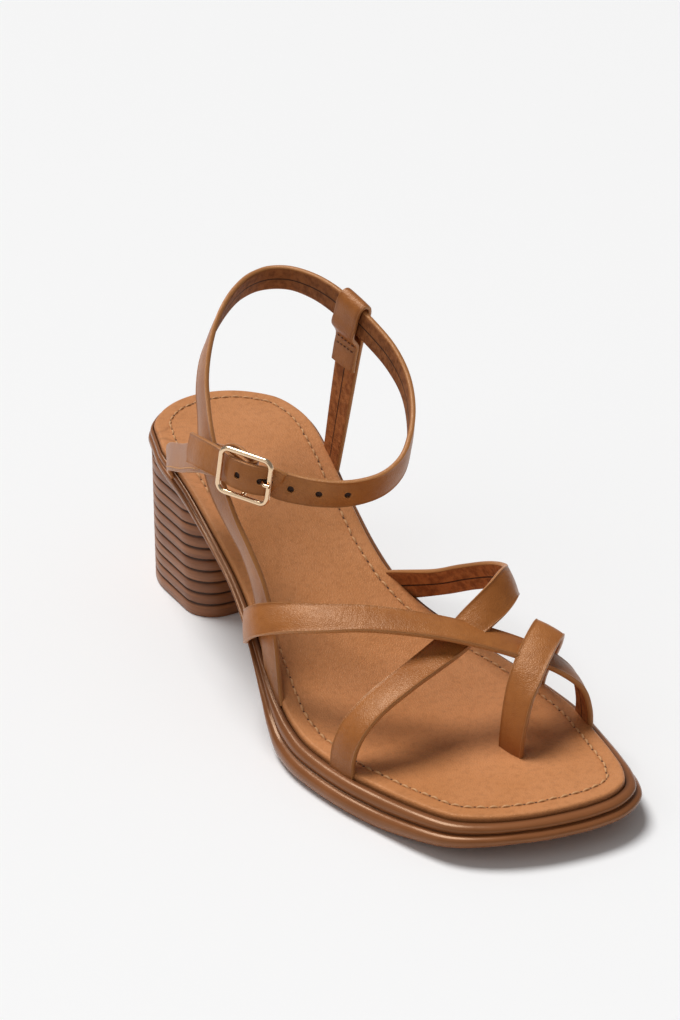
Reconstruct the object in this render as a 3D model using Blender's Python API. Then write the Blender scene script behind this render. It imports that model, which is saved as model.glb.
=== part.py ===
# Strappy heeled sandal, right shoe, built in metres with +Z up.
# The toe points along -Y, the big toe side is +X, and the floor is at Z = 0.
import math

import bpy
import bmesh
import numpy as np

# Insole: the last's footprint
INSOLE_LENGTH = 0.2392
BALL_WIDTH = 0.0886
SEAT_HEIGHT = 0.0616
SEAT_RADIUS = 0.0300
INSOLE_THICKNESS = 0.0026
INSOLE_ROUNDING = 0.0012

# Outsole rim outside the insole's edge
CREASE_DROP = 0.0018
RIM_AT_BALL = 0.0053

# Stacked block heel
HEEL_BASE_WIDTH = 0.0600
HEEL_TOP_WIDTH = 0.0625
HEEL_BASE_LENGTH = 0.0585
HEEL_TOP_LENGTH = 0.0550
HEEL_CORNER_MEDIAL = 0.0087
HEEL_CORNER_LATERAL = 0.0110
HEEL_BACK_INSET = 0.0012
HEEL_LAYER = 0.00445
HEEL_GROOVE_DEPTH = 0.0007
HEEL_GROOVE_WIDTH = 0.0008

# Leather straps
STRAP_WIDTH = 0.0110
STRAP_THICKNESS = 0.0022
STRAP_CROWN = 0.0004
ANKLE_WIDTH = 0.0105
ANKLE_THICKNESS = 0.0020
QUARTER_WIDTH = 0.0100
QUARTER_THICKNESS = 0.0016
TAB_BASE_WIDTH = 0.0140
TAB_LOOP_WIDTH = 0.0120
TAB_THICKNESS = 0.0016
HOLE_DIAMETER = 0.0024
HOLE_SPACING = 0.0093

# Buckle
FRAME_LENGTH = 0.0205
FRAME_WIDTH = 0.0171
FRAME_CORNER = 0.0036
WIRE = 0.0018
CENTRE_BAR = 0.0016
BAR_DROP = 0.0034
PRONG = 0.0013

# Clearance between pieces, and what moving parts have beyond it
GAP = 0.0003
ROOM = 0.0002
FOLD_ROOM = 0.0020

# Sections of the sole from heel to toe. along: share of INSOLE_LENGTH.
# lateral, medial: share of BALL_WIDTH. top, under: share of SEAT_HEIGHT.
# rim: share of RIM_AT_BALL.
SECTIONS = (
    # along, lateral, medial, top, under, rim
    (0.126, 0.341, 0.325, 0.945, 0.815, 0.34),
    (0.212, 0.351, 0.295, 0.866, 0.745, 0.36),
    (0.300, 0.366, 0.249, 0.755, 0.660, 0.42),
    (0.387, 0.380, 0.217, 0.622, 0.540, 0.48),
    (0.446, 0.402, 0.217, 0.522, 0.440, 0.56),
    (0.504, 0.437, 0.258, 0.418, 0.320, 0.62),
    (0.563, 0.471, 0.344, 0.318, 0.175, 0.76),
    (0.600, 0.491, 0.396, 0.268, 0.060, 0.86),
    (0.640, 0.508, 0.437, 0.234, 0.000, 0.95),
    (0.690, 0.514, 0.470, 0.211, 0.000, 1.00),
    (0.772, 0.481, 0.486, 0.202, 0.000, 1.00),
    (0.830, 0.437, 0.465, 0.204, 0.000, 1.00),
    (0.910, 0.362, 0.415, 0.220, 0.040, 1.00),
)
# Toe edge, slanted towards the big toe. across: share of BALL_WIDTH.
TOE_EDGE = (
    # across, along
    (-0.312, 0.943),
    (-0.222, 0.968),
    (-0.085, 0.988),
    (0.060, 0.998),
    (0.150, 1.000),
    (0.250, 0.996),
    (0.330, 0.980),
    (0.378, 0.952),
)
SEAT_RISE = (
    # along, top, under at the two ends of the sole
    (0.000, 1.000, 0.870),
    (1.000, 0.240, 0.105),
)
# Side of the outsole from the crease down to the ground edge.
# out: share of the rim, down: share of the height below the crease.
RIM_PROFILE = (
    # out, down
    (0.10, 0.000),
    (0.38, 0.035),
    (0.58, 0.130),
    (0.62, 0.240),
    (0.56, 0.340),
    (0.52, 0.390),
    (0.76, 0.440),
    (0.95, 0.530),
    (1.00, 0.640),
    (0.93, 0.800),
    (0.76, 0.930),
    (0.48, 1.000),
)

# Routes of the straps. across: share of BALL_WIDTH, along: share of INSOLE_LENGTH
# from the heel, up: share of SEAT_HEIGHT, and where the outer face looks.
INSTEP_STRAP = (
    # across, along, up, face x, y, z
    (-0.470, 0.487, 0.490, -0.94, 0.26, 0.18),
    (-0.522, 0.522, 0.590, -0.95, 0.08, 0.26),
    (-0.524, 0.556, 0.682, -0.84, -0.16, 0.50),
    (-0.465, 0.590, 0.735, -0.50, -0.36, 0.78),
    (-0.374, 0.629, 0.772, -0.30, -0.36, 0.88),
    (-0.254, 0.661, 0.788, -0.12, -0.34, 0.93),
    (-0.140, 0.691, 0.782, 0.00, -0.32, 0.95),
    (0.000, 0.725, 0.752, 0.14, -0.30, 0.94),
    (0.135, 0.753, 0.696, 0.24, -0.30, 0.92),
    (0.260, 0.779, 0.625, 0.36, -0.30, 0.88),
    (0.365, 0.799, 0.540, 0.56, -0.28, 0.78),
    (0.440, 0.808, 0.430, 0.84, -0.26, 0.46),
    (0.468, 0.811, 0.300, 0.96, -0.22, 0.14),
)
VAMP_STRAP = (
    # across, along, up, face x, y, z
    (0.312, 0.532, 0.567, 0.86, 0.20, 0.46),
    (0.359, 0.568, 0.642, 0.86, 0.10, 0.50),
    (0.396, 0.609, 0.717, 0.88, -0.05, 0.48),
    (0.395, 0.642, 0.767, 0.86, -0.30, 0.42),
    (0.369, 0.675, 0.815, 0.70, -0.55, 0.46),
    (0.306, 0.702, 0.861, 0.46, -0.66, 0.60),
    (0.233, 0.717, 0.828, 0.22, -0.60, 0.77),
    (0.129, 0.725, 0.754, 0.05, -0.40, 0.91),
    (0.029, 0.730, 0.670, -0.06, -0.22, 0.97),
    (-0.102, 0.741, 0.614, -0.20, -0.10, 0.97),
    (-0.234, 0.753, 0.568, -0.38, -0.08, 0.92),
    (-0.360, 0.760, 0.493, -0.64, -0.10, 0.76),
    (-0.445, 0.764, 0.392, -0.88, -0.12, 0.46),
    (-0.478, 0.764, 0.280, -0.96, -0.14, 0.20),
)
TOE_STRAP = (
    # across, along, up, face x, y, z
    (0.118, 0.835, 0.380, -0.97, -0.20, 0.08),
    (0.146, 0.828, 0.490, -0.92, -0.30, 0.24),
    (0.190, 0.818, 0.575, -0.66, -0.44, 0.60),
    (0.250, 0.802, 0.640, -0.34, -0.40, 0.85),
    (0.318, 0.784, 0.684, -0.10, -0.30, 0.95),
    (0.376, 0.767, 0.690, 0.40, -0.06, 0.91),
    (0.412, 0.748, 0.600, 0.86, 0.20, 0.46),
    (0.434, 0.724, 0.460, 0.90, 0.24, 0.34),
    (0.454, 0.697, 0.300, 0.92, 0.24, 0.28),
)
# The ankle strap from its tunnel round the heel to the front of the buckle
ANKLE_RING = (
    # across, along, up, face x, y, z
    (-0.376, 0.290, 1.445, -0.94, 0.24, 0.22),
    (-0.334, 0.256, 1.545, -0.92, 0.28, 0.26),
    (-0.268, 0.221, 1.662, -0.82, 0.42, 0.36),
    (-0.182, 0.191, 1.766, -0.66, 0.64, 0.38),
    (-0.080, 0.164, 1.842, -0.42, 0.80, 0.40),
    (0.018, 0.144, 1.874, -0.10, 0.90, 0.40),
    (0.112, 0.138, 1.886, 0.28, 0.85, 0.38),
    (0.188, 0.155, 1.892, 0.66, 0.64, 0.34),
    (0.240, 0.190, 1.882, 0.88, 0.36, 0.20),
    (0.272, 0.232, 1.856, 0.97, 0.18, 0.06),
    (0.294, 0.277, 1.806, 0.98, 0.12, -0.02),
    (0.311, 0.322, 1.750, 0.98, 0.04, -0.03),
    (0.320, 0.373, 1.678, 0.98, -0.08, -0.04),
    (0.308, 0.420, 1.592, 0.92, -0.34, -0.08),
    (0.262, 0.466, 1.500, 0.80, -0.54, -0.14),
    (0.192, 0.506, 1.414, 0.62, -0.74, -0.20),
    (0.108, 0.535, 1.340, 0.38, -0.88, -0.25),
    (0.010, 0.546, 1.288, 0.05, -0.95, -0.28),
    (-0.112, 0.538, 1.260, -0.30, -0.92, -0.22),
    (-0.226, 0.516, 1.264, -0.54, -0.83, -0.10),
    (-0.322, 0.486, 1.286, -0.70, -0.71, 0.04),
)
ANKLE_FOOT = (
    # across, along, up, face x, y, z
    (-0.422, 0.331, 1.340, -0.96, 0.02, 0.20),
    (-0.438, 0.357, 1.250, -0.97, 0.02, 0.20),
    (-0.450, 0.386, 1.148, -0.96, 0.10, 0.18),
    (-0.449, 0.427, 1.015, -0.94, 0.27, 0.12),
    (-0.435, 0.459, 0.890, -0.94, 0.29, 0.09),
    (-0.428, 0.490, 0.742, -0.96, 0.14, 0.08),
    (-0.440, 0.523, 0.560, -0.98, 0.00, 0.06),
)
ANKLE_TIP = (
    # across, along, up, face x, y, z
    (-0.492, 0.372, 1.342, -0.95, -0.12, 0.24),
    (-0.490, 0.330, 1.315, -0.96, -0.02, 0.24),
)
# The outer layer of the quarter strap, and how much of it the fold runs back over
QUARTER_STRAP = (
    # across, along, up, face x, y, z
    (-0.406, 0.199, 1.019, -0.93, 0.10, 0.26),
    (-0.444, 0.273, 1.144, -0.95, 0.06, 0.24),
    (-0.458, 0.311, 1.215, -0.96, 0.02, 0.22),
    (-0.463, 0.343, 1.262, -0.97, -0.02, 0.20),
    (-0.463, 0.378, 1.304, -0.96, -0.14, 0.20),
)
QUARTER_TUNNEL_ROWS = 3
# Where the medial tab holds the ankle strap, and how far its flap reaches below
TAB_LOOP_ALONG = 0.278
TAB_STITCH_DROP = 0.0040
TAB_FLAP = 0.0120

# Where the straps enter the sole: side, and place along the insole
INSTEP_FROM = ("lateral", 0.460)
INSTEP_TO = ("medial", 0.811)
VAMP_FROM = ("medial", 0.462)
VAMP_TO = ("lateral", 0.765)
TOE_TO = ("medial", 0.684)
ANKLE_TO = ("lateral", 0.577)
QUARTER_FROM = ("lateral", 0.160)
TAB_FROM = ("medial", 0.226)
# Slot for the toe post in the insole
POST_ACROSS = 0.102
POST_ALONG = 0.839
POST_TURN = math.radians(7.0)

# Buckle's place and the directions of its strap: forwards and up the width
BUCKLE_ACROSS = -0.4345
BUCKLE_ALONG = 0.454
BUCKLE_UP = 1.328
BUCKLE_FORWARD = (0.525, -0.845, -0.09)
BUCKLE_UPWARD = (0.12, -0.045, 0.99)

# Fineness of the meshes, and how far a foot keeps the rings of its strap away
STATIONS = 34
FOOT_RINGS = 4
FOOT_REACH = 0.0080
# Least rise of the line along which a strap's foot is cut to its seat
TRIM_RISE = 0.60
HEEL_Y = INSOLE_LENGTH * 0.5042


def smooth_path(rows, per_span):
    """Catmull-Rom curve through rows, spaced by the distance between them."""
    rows = np.array(rows, float)
    steps = np.sqrt(np.linalg.norm(np.diff(rows[:, :3], axis=0), axis=1))
    ends = (2 * rows[0] - rows[1], 2 * rows[-1] - rows[-2])
    pts = np.vstack([ends[0], rows, ends[1]])
    knots = np.concatenate([[-steps[0]], [0], np.cumsum(steps), [steps.sum() + steps[-1]]])
    out = []
    for i in range(1, len(pts) - 2):
        k0, k1, k2, k3 = knots[i - 1:i + 3]
        for t in np.linspace(k1, k2, per_span, endpoint=False):
            a1 = ((k1 - t) * pts[i - 1] + (t - k0) * pts[i]) / (k1 - k0)
            a2 = ((k2 - t) * pts[i] + (t - k1) * pts[i + 1]) / (k2 - k1)
            a3 = ((k3 - t) * pts[i + 1] + (t - k2) * pts[i + 2]) / (k3 - k2)
            b1 = ((k2 - t) * a1 + (t - k0) * a2) / (k2 - k0)
            b2 = ((k3 - t) * a2 + (t - k1) * a3) / (k3 - k1)
            out.append(((k2 - t) * b1 + (t - k1) * b2) / (k2 - k1))
    out.append(pts[-2])
    return np.array(out)


def monotone(xs, ys, x):
    """Cubic through the table's points that never overshoots them."""
    xs, ys = np.array(xs, float), np.array(ys, float)
    step = np.diff(xs)
    slope = np.diff(ys) / step
    tangent = np.zeros(len(xs))
    tangent[0], tangent[-1] = slope[0], slope[-1]
    for i in range(1, len(xs) - 1):
        if slope[i - 1] * slope[i] > 0:
            w1, w2 = 2 * step[i] + step[i - 1], step[i] + 2 * step[i - 1]
            tangent[i] = (w1 + w2) / (w1 / slope[i - 1] + w2 / slope[i])
    x = np.clip(x, xs[0], xs[-1])
    i = np.clip(np.searchsorted(xs, x) - 1, 0, len(xs) - 2)
    t = (x - xs[i]) / step[i]
    lift = 1 - t
    return ((1 + 2 * t) * lift ** 2 * ys[i] + t * lift ** 2 * step[i] * tangent[i]
            + t * t * (3 - 2 * t) * ys[i + 1] - t * t * lift * step[i] * tangent[i + 1])


def along_of(y):
    return (HEEL_Y - y) / INSOLE_LENGTH


def section_value(y, column, at_heel, at_toe):
    xs = [0.0] + [row[0] for row in SECTIONS] + [1.0]
    ys = [at_heel] + [row[column] for row in SECTIONS] + [at_toe]
    return monotone(xs, ys, along_of(y))


def top_height(y):
    return SEAT_HEIGHT * section_value(y, 3, SEAT_RISE[0][1], SEAT_RISE[1][1])


def under_height(y):
    return SEAT_HEIGHT * section_value(y, 4, SEAT_RISE[0][2], SEAT_RISE[1][2])


def rim_width(y):
    return RIM_AT_BALL * section_value(y, 5, SECTIONS[0][5], 1.0)


def insole_outline():
    """The insole's edge as a dense closed loop: medial side to the toe, lateral side back."""
    centre = HEEL_Y - SEAT_RADIUS
    arc = [(SEAT_RADIUS * math.sin(a), centre + SEAT_RADIUS * math.cos(a))
           for a in np.radians(np.arange(-60, 61, 15))]
    medial = [(row[2] * BALL_WIDTH, HEEL_Y - row[0] * INSOLE_LENGTH) for row in SECTIONS]
    lateral = [(-row[1] * BALL_WIDTH, HEEL_Y - row[0] * INSOLE_LENGTH) for row in SECTIONS]
    toe = [(a * BALL_WIDTH, HEEL_Y - s * INSOLE_LENGTH) for a, s in TOE_EDGE]
    loop = arc + medial + toe[::-1] + lateral[::-1]
    rows = [(x, y, 0.0) for x, y in loop[-2:] + loop + loop[:2]]
    dense = smooth_path(rows, 10)[20:-20, :2]
    return dense


def offset_loop(loop, distance):
    ahead = np.roll(loop, -1, axis=0) - np.roll(loop, 1, axis=0)
    ahead /= np.linalg.norm(ahead, axis=1)[:, None]
    outward = np.column_stack([-ahead[:, 1], ahead[:, 0]])
    return loop + outward * np.atleast_1d(distance).reshape(-1, 1)


OUTLINE = insole_outline()


def station_loop(loop):
    """Vertices of a loop at paired stations: heel tip, lateral side, toe tip, medial side."""
    heel, toe = int(loop[:, 1].argmax()), int(loop[:, 1].argmin())
    turned = np.roll(loop, -heel, axis=0)
    toe = (toe - heel) % len(loop)
    medial = turned[:toe + 1]
    lateral = np.vstack([turned[toe:], turned[:1]])[::-1]
    share = (1 - np.cos(np.pi * np.arange(1, STATIONS) / STATIONS)) / 2
    y = turned[0, 1] + (turned[toe, 1] - turned[0, 1]) * share
    x_medial = np.interp(-y, -medial[:, 1], medial[:, 0])
    x_lateral = np.interp(-y, -lateral[:, 1], lateral[:, 0])
    left = np.column_stack([x_lateral, y])
    right = np.column_stack([x_medial, y])[::-1]
    return np.vstack([turned[:1], left, turned[toe:toe + 1], right])


def cap_faces(first, upward):
    """Cross strips that close a station loop whose vertices start at index first."""
    count = 2 * STATIONS
    faces = [(first, first + 1, first + count - 1)]
    for i in range(1, STATIONS - 1):
        faces.append((first + i, first + i + 1, first + count - i - 1, first + count - i))
    faces.append((first + STATIONS - 1, first + STATIONS, first + STATIONS + 1))
    return faces if upward else [face[::-1] for face in faces]


def stacked_rings(rings):
    """Closed solid from station loops of 3D points, listed from the top down."""
    count = 2 * STATIONS
    verts = np.vstack(rings)
    faces = cap_faces(0, True)
    for r in range(len(rings) - 1):
        a, b = r * count, (r + 1) * count
        for i in range(count):
            j = (i + 1) % count
            faces.append((a + i, b + i, b + j, a + j))
    faces += cap_faces((len(rings) - 1) * count, False)
    return verts, faces


def ring_at(distance, height):
    """Station loop at an outward distance, both given as functions of y or as numbers."""
    far = distance(OUTLINE[:, 1]) if callable(distance) else distance
    loop = station_loop(offset_loop(OUTLINE, far))
    return np.column_stack([loop, height(loop[:, 1])])


def make_object(name, verts, faces, parent=None, material=None):
    mesh = bpy.data.meshes.new(name)
    mesh.from_pydata([tuple(v) for v in verts], [], faces)
    work = bmesh.new()
    work.from_mesh(mesh)
    bmesh.ops.remove_doubles(work, verts=work.verts, dist=1e-6)
    bmesh.ops.recalc_face_normals(work, faces=work.faces)
    work.to_mesh(mesh)
    work.free()
    obj = bpy.data.objects.new(name, mesh)
    bpy.context.scene.collection.objects.link(obj)
    obj.parent = parent
    if material:
        mesh.materials.append(material)
        mesh.shade_smooth()
        mesh.set_sharp_from_angle(angle=math.radians(35))
    return obj


def make_material(name, colour, roughness, metallic=0.0):
    material = bpy.data.materials.new(name)
    material.use_nodes = True
    shader = material.node_tree.nodes["Principled BSDF"]
    shader.inputs["Base Color"].default_value = (*colour, 1.0)
    shader.inputs["Roughness"].default_value = roughness
    shader.inputs["Metallic"].default_value = metallic
    return material


def apply_boolean(obj, other, operation):
    """Bake one Boolean into obj's mesh and remove the other object."""
    modifier = obj.modifiers.new(operation.lower(), "BOOLEAN")
    modifier.operation = operation
    modifier.object = other
    modifier.solver = "EXACT"
    bpy.context.view_layer.update()
    graph = bpy.context.evaluated_depsgraph_get()
    result = bpy.data.meshes.new_from_object(obj.evaluated_get(graph))
    obj.modifiers.remove(modifier)
    old = obj.data
    obj.data = result
    bpy.data.meshes.remove(old)
    bpy.data.objects.remove(other)
    return obj


def unit(v):
    v = np.array(v, float)
    return v / np.linalg.norm(v)


def from_shares(row):
    across, along, up = row[:3]
    place = (across * BALL_WIDTH, HEEL_Y - along * INSOLE_LENGTH, up * SEAT_HEIGHT)
    return np.array(place + tuple(row[3:]))


def table_rows(table):
    return [from_shares(row) for row in table]


def edge_point(side, along):
    """Point on the insole's edge and the outward direction there."""
    y = HEEL_Y - along * INSOLE_LENGTH
    loop = OUTLINE
    outward = offset_loop(OUTLINE, 1.0) - OUTLINE
    sign = 1.0 if side == "medial" else -1.0
    near = np.where(loop[:, 0] * sign > 0)[0]
    i = near[np.abs(loop[near, 1] - y).argmin()]
    return np.array([loop[i, 0], y]), outward[i]


def strap_foot(anchor):
    """Row for a strap's end beside the insole, on its seat."""
    place, outward = edge_point(*anchor)
    face = unit([outward[0], outward[1], 0.15])
    return np.array([place[0], place[1], seat_level(place[1]) + GAP, *face])


def seat_level(y):
    """Top of the outsole under the insole."""
    return top_height(y) - INSOLE_THICKNESS - GAP


def section_shape(width, thickness, crown, grow):
    """Outline of a strap across its width: w along the width, n towards the outer face."""
    half, up, down = width / 2 + grow, thickness / 2 + grow, -thickness / 2 - grow
    soft = min(thickness * 0.35, 0.0008)
    return np.array([
        (-half, down + soft), (-half + soft, down), (half - soft, down), (half, down + soft),
        (half, up - soft - crown), (half - 1.6 * soft, up - crown * 0.3), (0.0, up),
        (-half + 1.6 * soft, up - crown * 0.3), (-half, up - soft - crown),
    ])


def frames(path):
    """Centres, tangents, width and face directions along a sampled route."""
    centre, face = path[:, :3], path[:, 3:6]
    ahead = np.gradient(centre, axis=0)
    ahead /= np.linalg.norm(ahead, axis=1)[:, None]
    face = face - ahead * (face * ahead).sum(1)[:, None]
    face /= np.linalg.norm(face, axis=1)[:, None]
    return centre, ahead, np.cross(ahead, face), face


def ribbon(path, width, thickness, crown=STRAP_CROWN, grow=0.0, trim_start=None, trim_end=None,
           widths=None, stretch=slice(None)):
    """Closed strap along a path; trimmed ends are cut along the seat of the insole."""
    centre, ahead, side, face = (part[stretch] for part in frames(path))
    count = len(centre)
    rings = []
    for i in range(count):
        local = width if widths is None else widths[i]
        shape = section_shape(local, thickness, crown, grow)
        rings.append(centre[i] + shape[:, :1] * side[i] + shape[:, 1:] * face[i])
    for index, level in ((0, trim_start), (count - 1, trim_end)):
        if level is None:
            continue
        slope = ahead[index].copy()
        slope[2] = math.copysign(max(abs(slope[2]), TRIM_RISE), slope[2])
        for k, point in enumerate(rings[index]):
            for _ in range(12):
                miss = level(point[1]) - point[2]
                point = point + slope * miss / slope[2]
            rings[index][k] = point
    verts = np.vstack(rings)
    n = len(rings[0])
    faces = [tuple(range(n))[::-1], tuple(range((count - 1) * n, count * n))]
    for i in range(count - 1):
        for k in range(n):
            m = (k + 1) % n
            faces.append((i * n + k, i * n + m, (i + 1) * n + m, (i + 1) * n + k))
    return verts, faces


def strap_level(y):
    return seat_level(y) + GAP


def pocket_level(y):
    return seat_level(y) - GAP


def strap_path(rows, start=None, end=None, per_span=3):
    """Route through the rows; no sample is nearer to a foot than its slanted cut reaches."""
    points = list(rows)
    if start:
        points = [strap_foot(start)] + points
    if end:
        points = points + [strap_foot(end)]
    path = smooth_path(points, per_span)
    far = np.ones(len(path), bool)
    for anchor, foot in ((start, 0), (end, len(path) - 1)):
        if anchor:
            away = np.linalg.norm(path[:, :3] - path[foot, :3], axis=1)
            far &= (away > FOOT_REACH) | (np.arange(len(path)) == foot)
    return path[far]


def foot_cutter(name, path, width, thickness, at_end, crown=STRAP_CROWN):
    """Pocket for a strap's foot: the strap's own first stretch, grown by the clearance."""
    stretch = slice(-FOOT_RINGS, None) if at_end else slice(0, FOOT_RINGS)
    trims = {"trim_end": pocket_level} if at_end else {"trim_start": pocket_level}
    verts, faces = ribbon(path, width, thickness, crown=crown, grow=GAP + ROOM / 4,
                          stretch=stretch, **trims)
    cutter = make_object(name, verts, faces)
    cutter.hide_render = True
    cutter.display_type = "WIRE"
    return cutter


def round_wire(points, radius, sides=10, closed=False):
    """Tube through the points, closed into a ring or capped."""
    points = np.array(points, float)
    count = len(points)
    if closed:
        ahead = np.roll(points, -1, axis=0) - np.roll(points, 1, axis=0)
    else:
        ahead = np.gradient(points, axis=0)
    ahead /= np.linalg.norm(ahead, axis=1)[:, None]
    normal = unit(np.cross(ahead[0], (0.31, 0.22, 0.92)))
    rings = []
    for i in range(count):
        normal = unit(normal - ahead[i] * normal.dot(ahead[i]))
        other = np.cross(ahead[i], normal)
        turn = 2 * np.pi * np.arange(sides) / sides
        rings.append(points[i] + radius * (np.cos(turn)[:, None] * normal
                                           + np.sin(turn)[:, None] * other))
    faces = []
    spans = count if closed else count - 1
    for i in range(spans):
        j = (i + 1) % count
        for k in range(sides):
            m = (k + 1) % sides
            faces.append((i * sides + k, i * sides + m, j * sides + m, j * sides + k))
    if not closed:
        faces += [tuple(range(sides))[::-1],
                  tuple(range((count - 1) * sides, count * sides))]
    return np.vstack(rings), faces


# Buckle frame: u runs forwards along the strap, v up its width, n outwards
BUCKLE_CENTRE = from_shares((BUCKLE_ACROSS, BUCKLE_ALONG, BUCKLE_UP))
AXIS_U = unit(BUCKLE_FORWARD)
AXIS_V = unit(np.array(BUCKLE_UPWARD) - AXIS_U * np.dot(BUCKLE_UPWARD, AXIS_U))
AXIS_N = np.cross(AXIS_U, AXIS_V)


def at_buckle(u, v, n):
    return BUCKLE_CENTRE + u * AXIS_U + v * AXIS_V + n * AXIS_N


# Heights of the layers at the buckle, measured outwards from the wire's centre
SIDE_BAR = FRAME_LENGTH / 2 - WIRE / 2
STRAP_UNDER_BAR = -(WIRE / 2 + GAP + 2 * ROOM + ANKLE_THICKNESS / 2)
QUARTER_OUTER = STRAP_UNDER_BAR - ANKLE_THICKNESS / 2 - GAP - 2 * ROOM - QUARTER_THICKNESS / 2
WRAP_OUTER = -BAR_DROP + CENTRE_BAR / 2 + GAP + QUARTER_THICKNESS / 2
WRAP_INNER = -BAR_DROP - CENTRE_BAR / 2 - GAP - QUARTER_THICKNESS / 2
STRAP_OVER_BAR = WRAP_OUTER + QUARTER_THICKNESS / 2 + GAP + ANKLE_THICKNESS / 2
QUARTER_INNER = QUARTER_OUTER - QUARTER_THICKNESS - ANKLE_THICKNESS - FOLD_ROOM
# The prong's hole in the strap, along u
PRONG_HOLE_U = 0.0070
PRONG_HOLE_LENGTH = 0.0054
FRONT_HOLES = 3


def buckle_row(u, n):
    return np.array([*at_buckle(u, 0.0, n), *AXIS_N])


def build_outsole(parent, material):
    rings = [ring_at(GAP, seat_level)]
    rings.append(ring_at(GAP, lambda y: top_height(y) - CREASE_DROP - 0.4 * GAP))
    for out, down in RIM_PROFILE:
        def height(y, down=down):
            crease = top_height(y) - CREASE_DROP
            return crease + (under_height(y) - crease) * down
        rings.append(ring_at(lambda y, out=out: GAP + rim_width(y) * out, height))
    verts, faces = stacked_rings(rings)
    return make_object("outsole", verts, faces, parent, material)


def build_insole(parent, material):
    r = INSOLE_ROUNDING
    profile = ((-r, 0.0), (-0.35 * r, -0.25 * r), (0.0, -r), (0.0, -INSOLE_THICKNESS + 0.4 * r),
               (-0.4 * r, -INSOLE_THICKNESS))
    rings = [ring_at(out, lambda y, drop=drop: top_height(y) + drop) for out, drop in profile]
    verts, faces = stacked_rings(rings)
    return make_object("insole", verts, faces, parent, material)


def heel_outline(share):
    """Plan of the heel at a share of its height: straight breast, round back."""
    half = (HEEL_BASE_WIDTH + (HEEL_TOP_WIDTH - HEEL_BASE_WIDTH) * share) / 2
    length = HEEL_BASE_LENGTH + (HEEL_TOP_LENGTH - HEEL_BASE_LENGTH) * share
    back = HEEL_Y + rim_width(HEEL_Y) - HEEL_BACK_INSET
    front = back - length
    centre_x = OUTLINE[OUTLINE[:, 1].argmax(), 0]
    points = []
    for radius, sign, angles in ((HEEL_CORNER_LATERAL, -1, (270, 252, 234, 216, 198, 180)),
                                 (half, 0, range(180, -1, -15)),
                                 (HEEL_CORNER_MEDIAL, 1, (0, -22.5, -45, -67.5, -90))):
        middle_x = centre_x + sign * (half - radius)
        middle_y = back - half if sign == 0 else front + radius
        points += [(middle_x + radius * math.cos(math.radians(a)),
                    middle_y + radius * math.sin(math.radians(a))) for a in angles]
    return np.array(points)


def build_heel(parent, material):
    top = SEAT_HEIGHT
    levels = [(0.0, 0.0)]
    z = HEEL_LAYER * 1.1
    while z < top - HEEL_LAYER:
        levels += [(z - HEEL_GROOVE_WIDTH / 2, 0.0), (z, HEEL_GROOVE_DEPTH),
                   (z + HEEL_GROOVE_WIDTH / 2, 0.0)]
        z += HEEL_LAYER
    levels.append((top, 0.0))
    verts, faces = [], []
    for z, inset in levels:
        loop = heel_outline(z / top)
        middle = loop.mean(axis=0)
        away = loop - middle
        away /= np.linalg.norm(away, axis=1)[:, None]
        verts += [(*(point - away_ * inset), z) for point, away_ in zip(loop, away)]
    n = len(loop)
    faces = [tuple(range(n)), tuple(range(len(verts) - n, len(verts)))[::-1]]
    for r in range(len(levels) - 1):
        for i in range(n):
            j = (i + 1) % n
            faces.append((r * n + i, r * n + j, (r + 1) * n + j, (r + 1) * n + i))
    heel = make_object("heel", verts, faces, parent, material)
    reach = BALL_WIDTH
    ys = np.linspace(HEEL_Y + 0.02, HEEL_Y - 0.42 * INSOLE_LENGTH, 24)
    lower = [(x, y, under_height(y) - GAP) for x in (-reach, reach) for y in ys]
    upper = [(x, y, 2 * top) for x in (-reach, reach) for y in ys]
    m = len(ys)
    faces = []
    for i in range(m - 1):
        faces.append((i, i + 1, m + i + 1, m + i))
        faces.append((2 * m + i, 3 * m + i, 3 * m + i + 1, 2 * m + i + 1))
        faces.append((i, 2 * m + i, 2 * m + i + 1, i + 1))
        faces.append((m + i, m + i + 1, 3 * m + i + 1, 3 * m + i))
    faces.append((0, m, 3 * m, 2 * m))
    faces.append((m - 1, 3 * m - 1, 4 * m - 1, 2 * m - 1))
    cutter = make_object("heel_trim", lower + upper, faces)
    return apply_boolean(heel, cutter, "DIFFERENCE")


def union_all(objects):
    base = objects[0]
    for other in objects[1:]:
        apply_boolean(base, other, "UNION")
    return base


def toe_post_rows():
    """The post's two lowest rows: inside its slot, and just above the insole."""
    x = POST_ACROSS * BALL_WIDTH
    y = HEEL_Y - POST_ALONG * INSOLE_LENGTH
    face = (-math.cos(POST_TURN), -math.sin(POST_TURN), 0.0)
    low = np.array([x, y, strap_level(y), *face])
    high = low.copy()
    high[2] = top_height(y) + STRAP_WIDTH * 0.35
    return [low, high]


def build_forefoot_straps(parent, material):
    instep = strap_path(table_rows(INSTEP_STRAP), INSTEP_FROM, INSTEP_TO)
    vamp = strap_path(table_rows(VAMP_STRAP), VAMP_FROM, VAMP_TO)
    toe = strap_path(toe_post_rows() + table_rows(TOE_STRAP), end=TOE_TO)
    straps = []
    for name, path, start_level in (("instep", instep, strap_level), ("vamp", vamp, strap_level),
                                    ("toe", toe, strap_level)):
        verts, faces = ribbon(path, STRAP_WIDTH, STRAP_THICKNESS, trim_start=start_level,
                              trim_end=strap_level)
        straps.append(make_object(name, verts, faces, parent, material))
    straps[0].name = "forefoot_straps"
    union_all(straps)
    return instep, vamp, toe


def beneath(row, depth):
    """Row moved in by a depth, its face turned inwards: the layer under another."""
    face = unit(row[3:])
    return np.array([*(row[:3] - face * depth), *-face])


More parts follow.
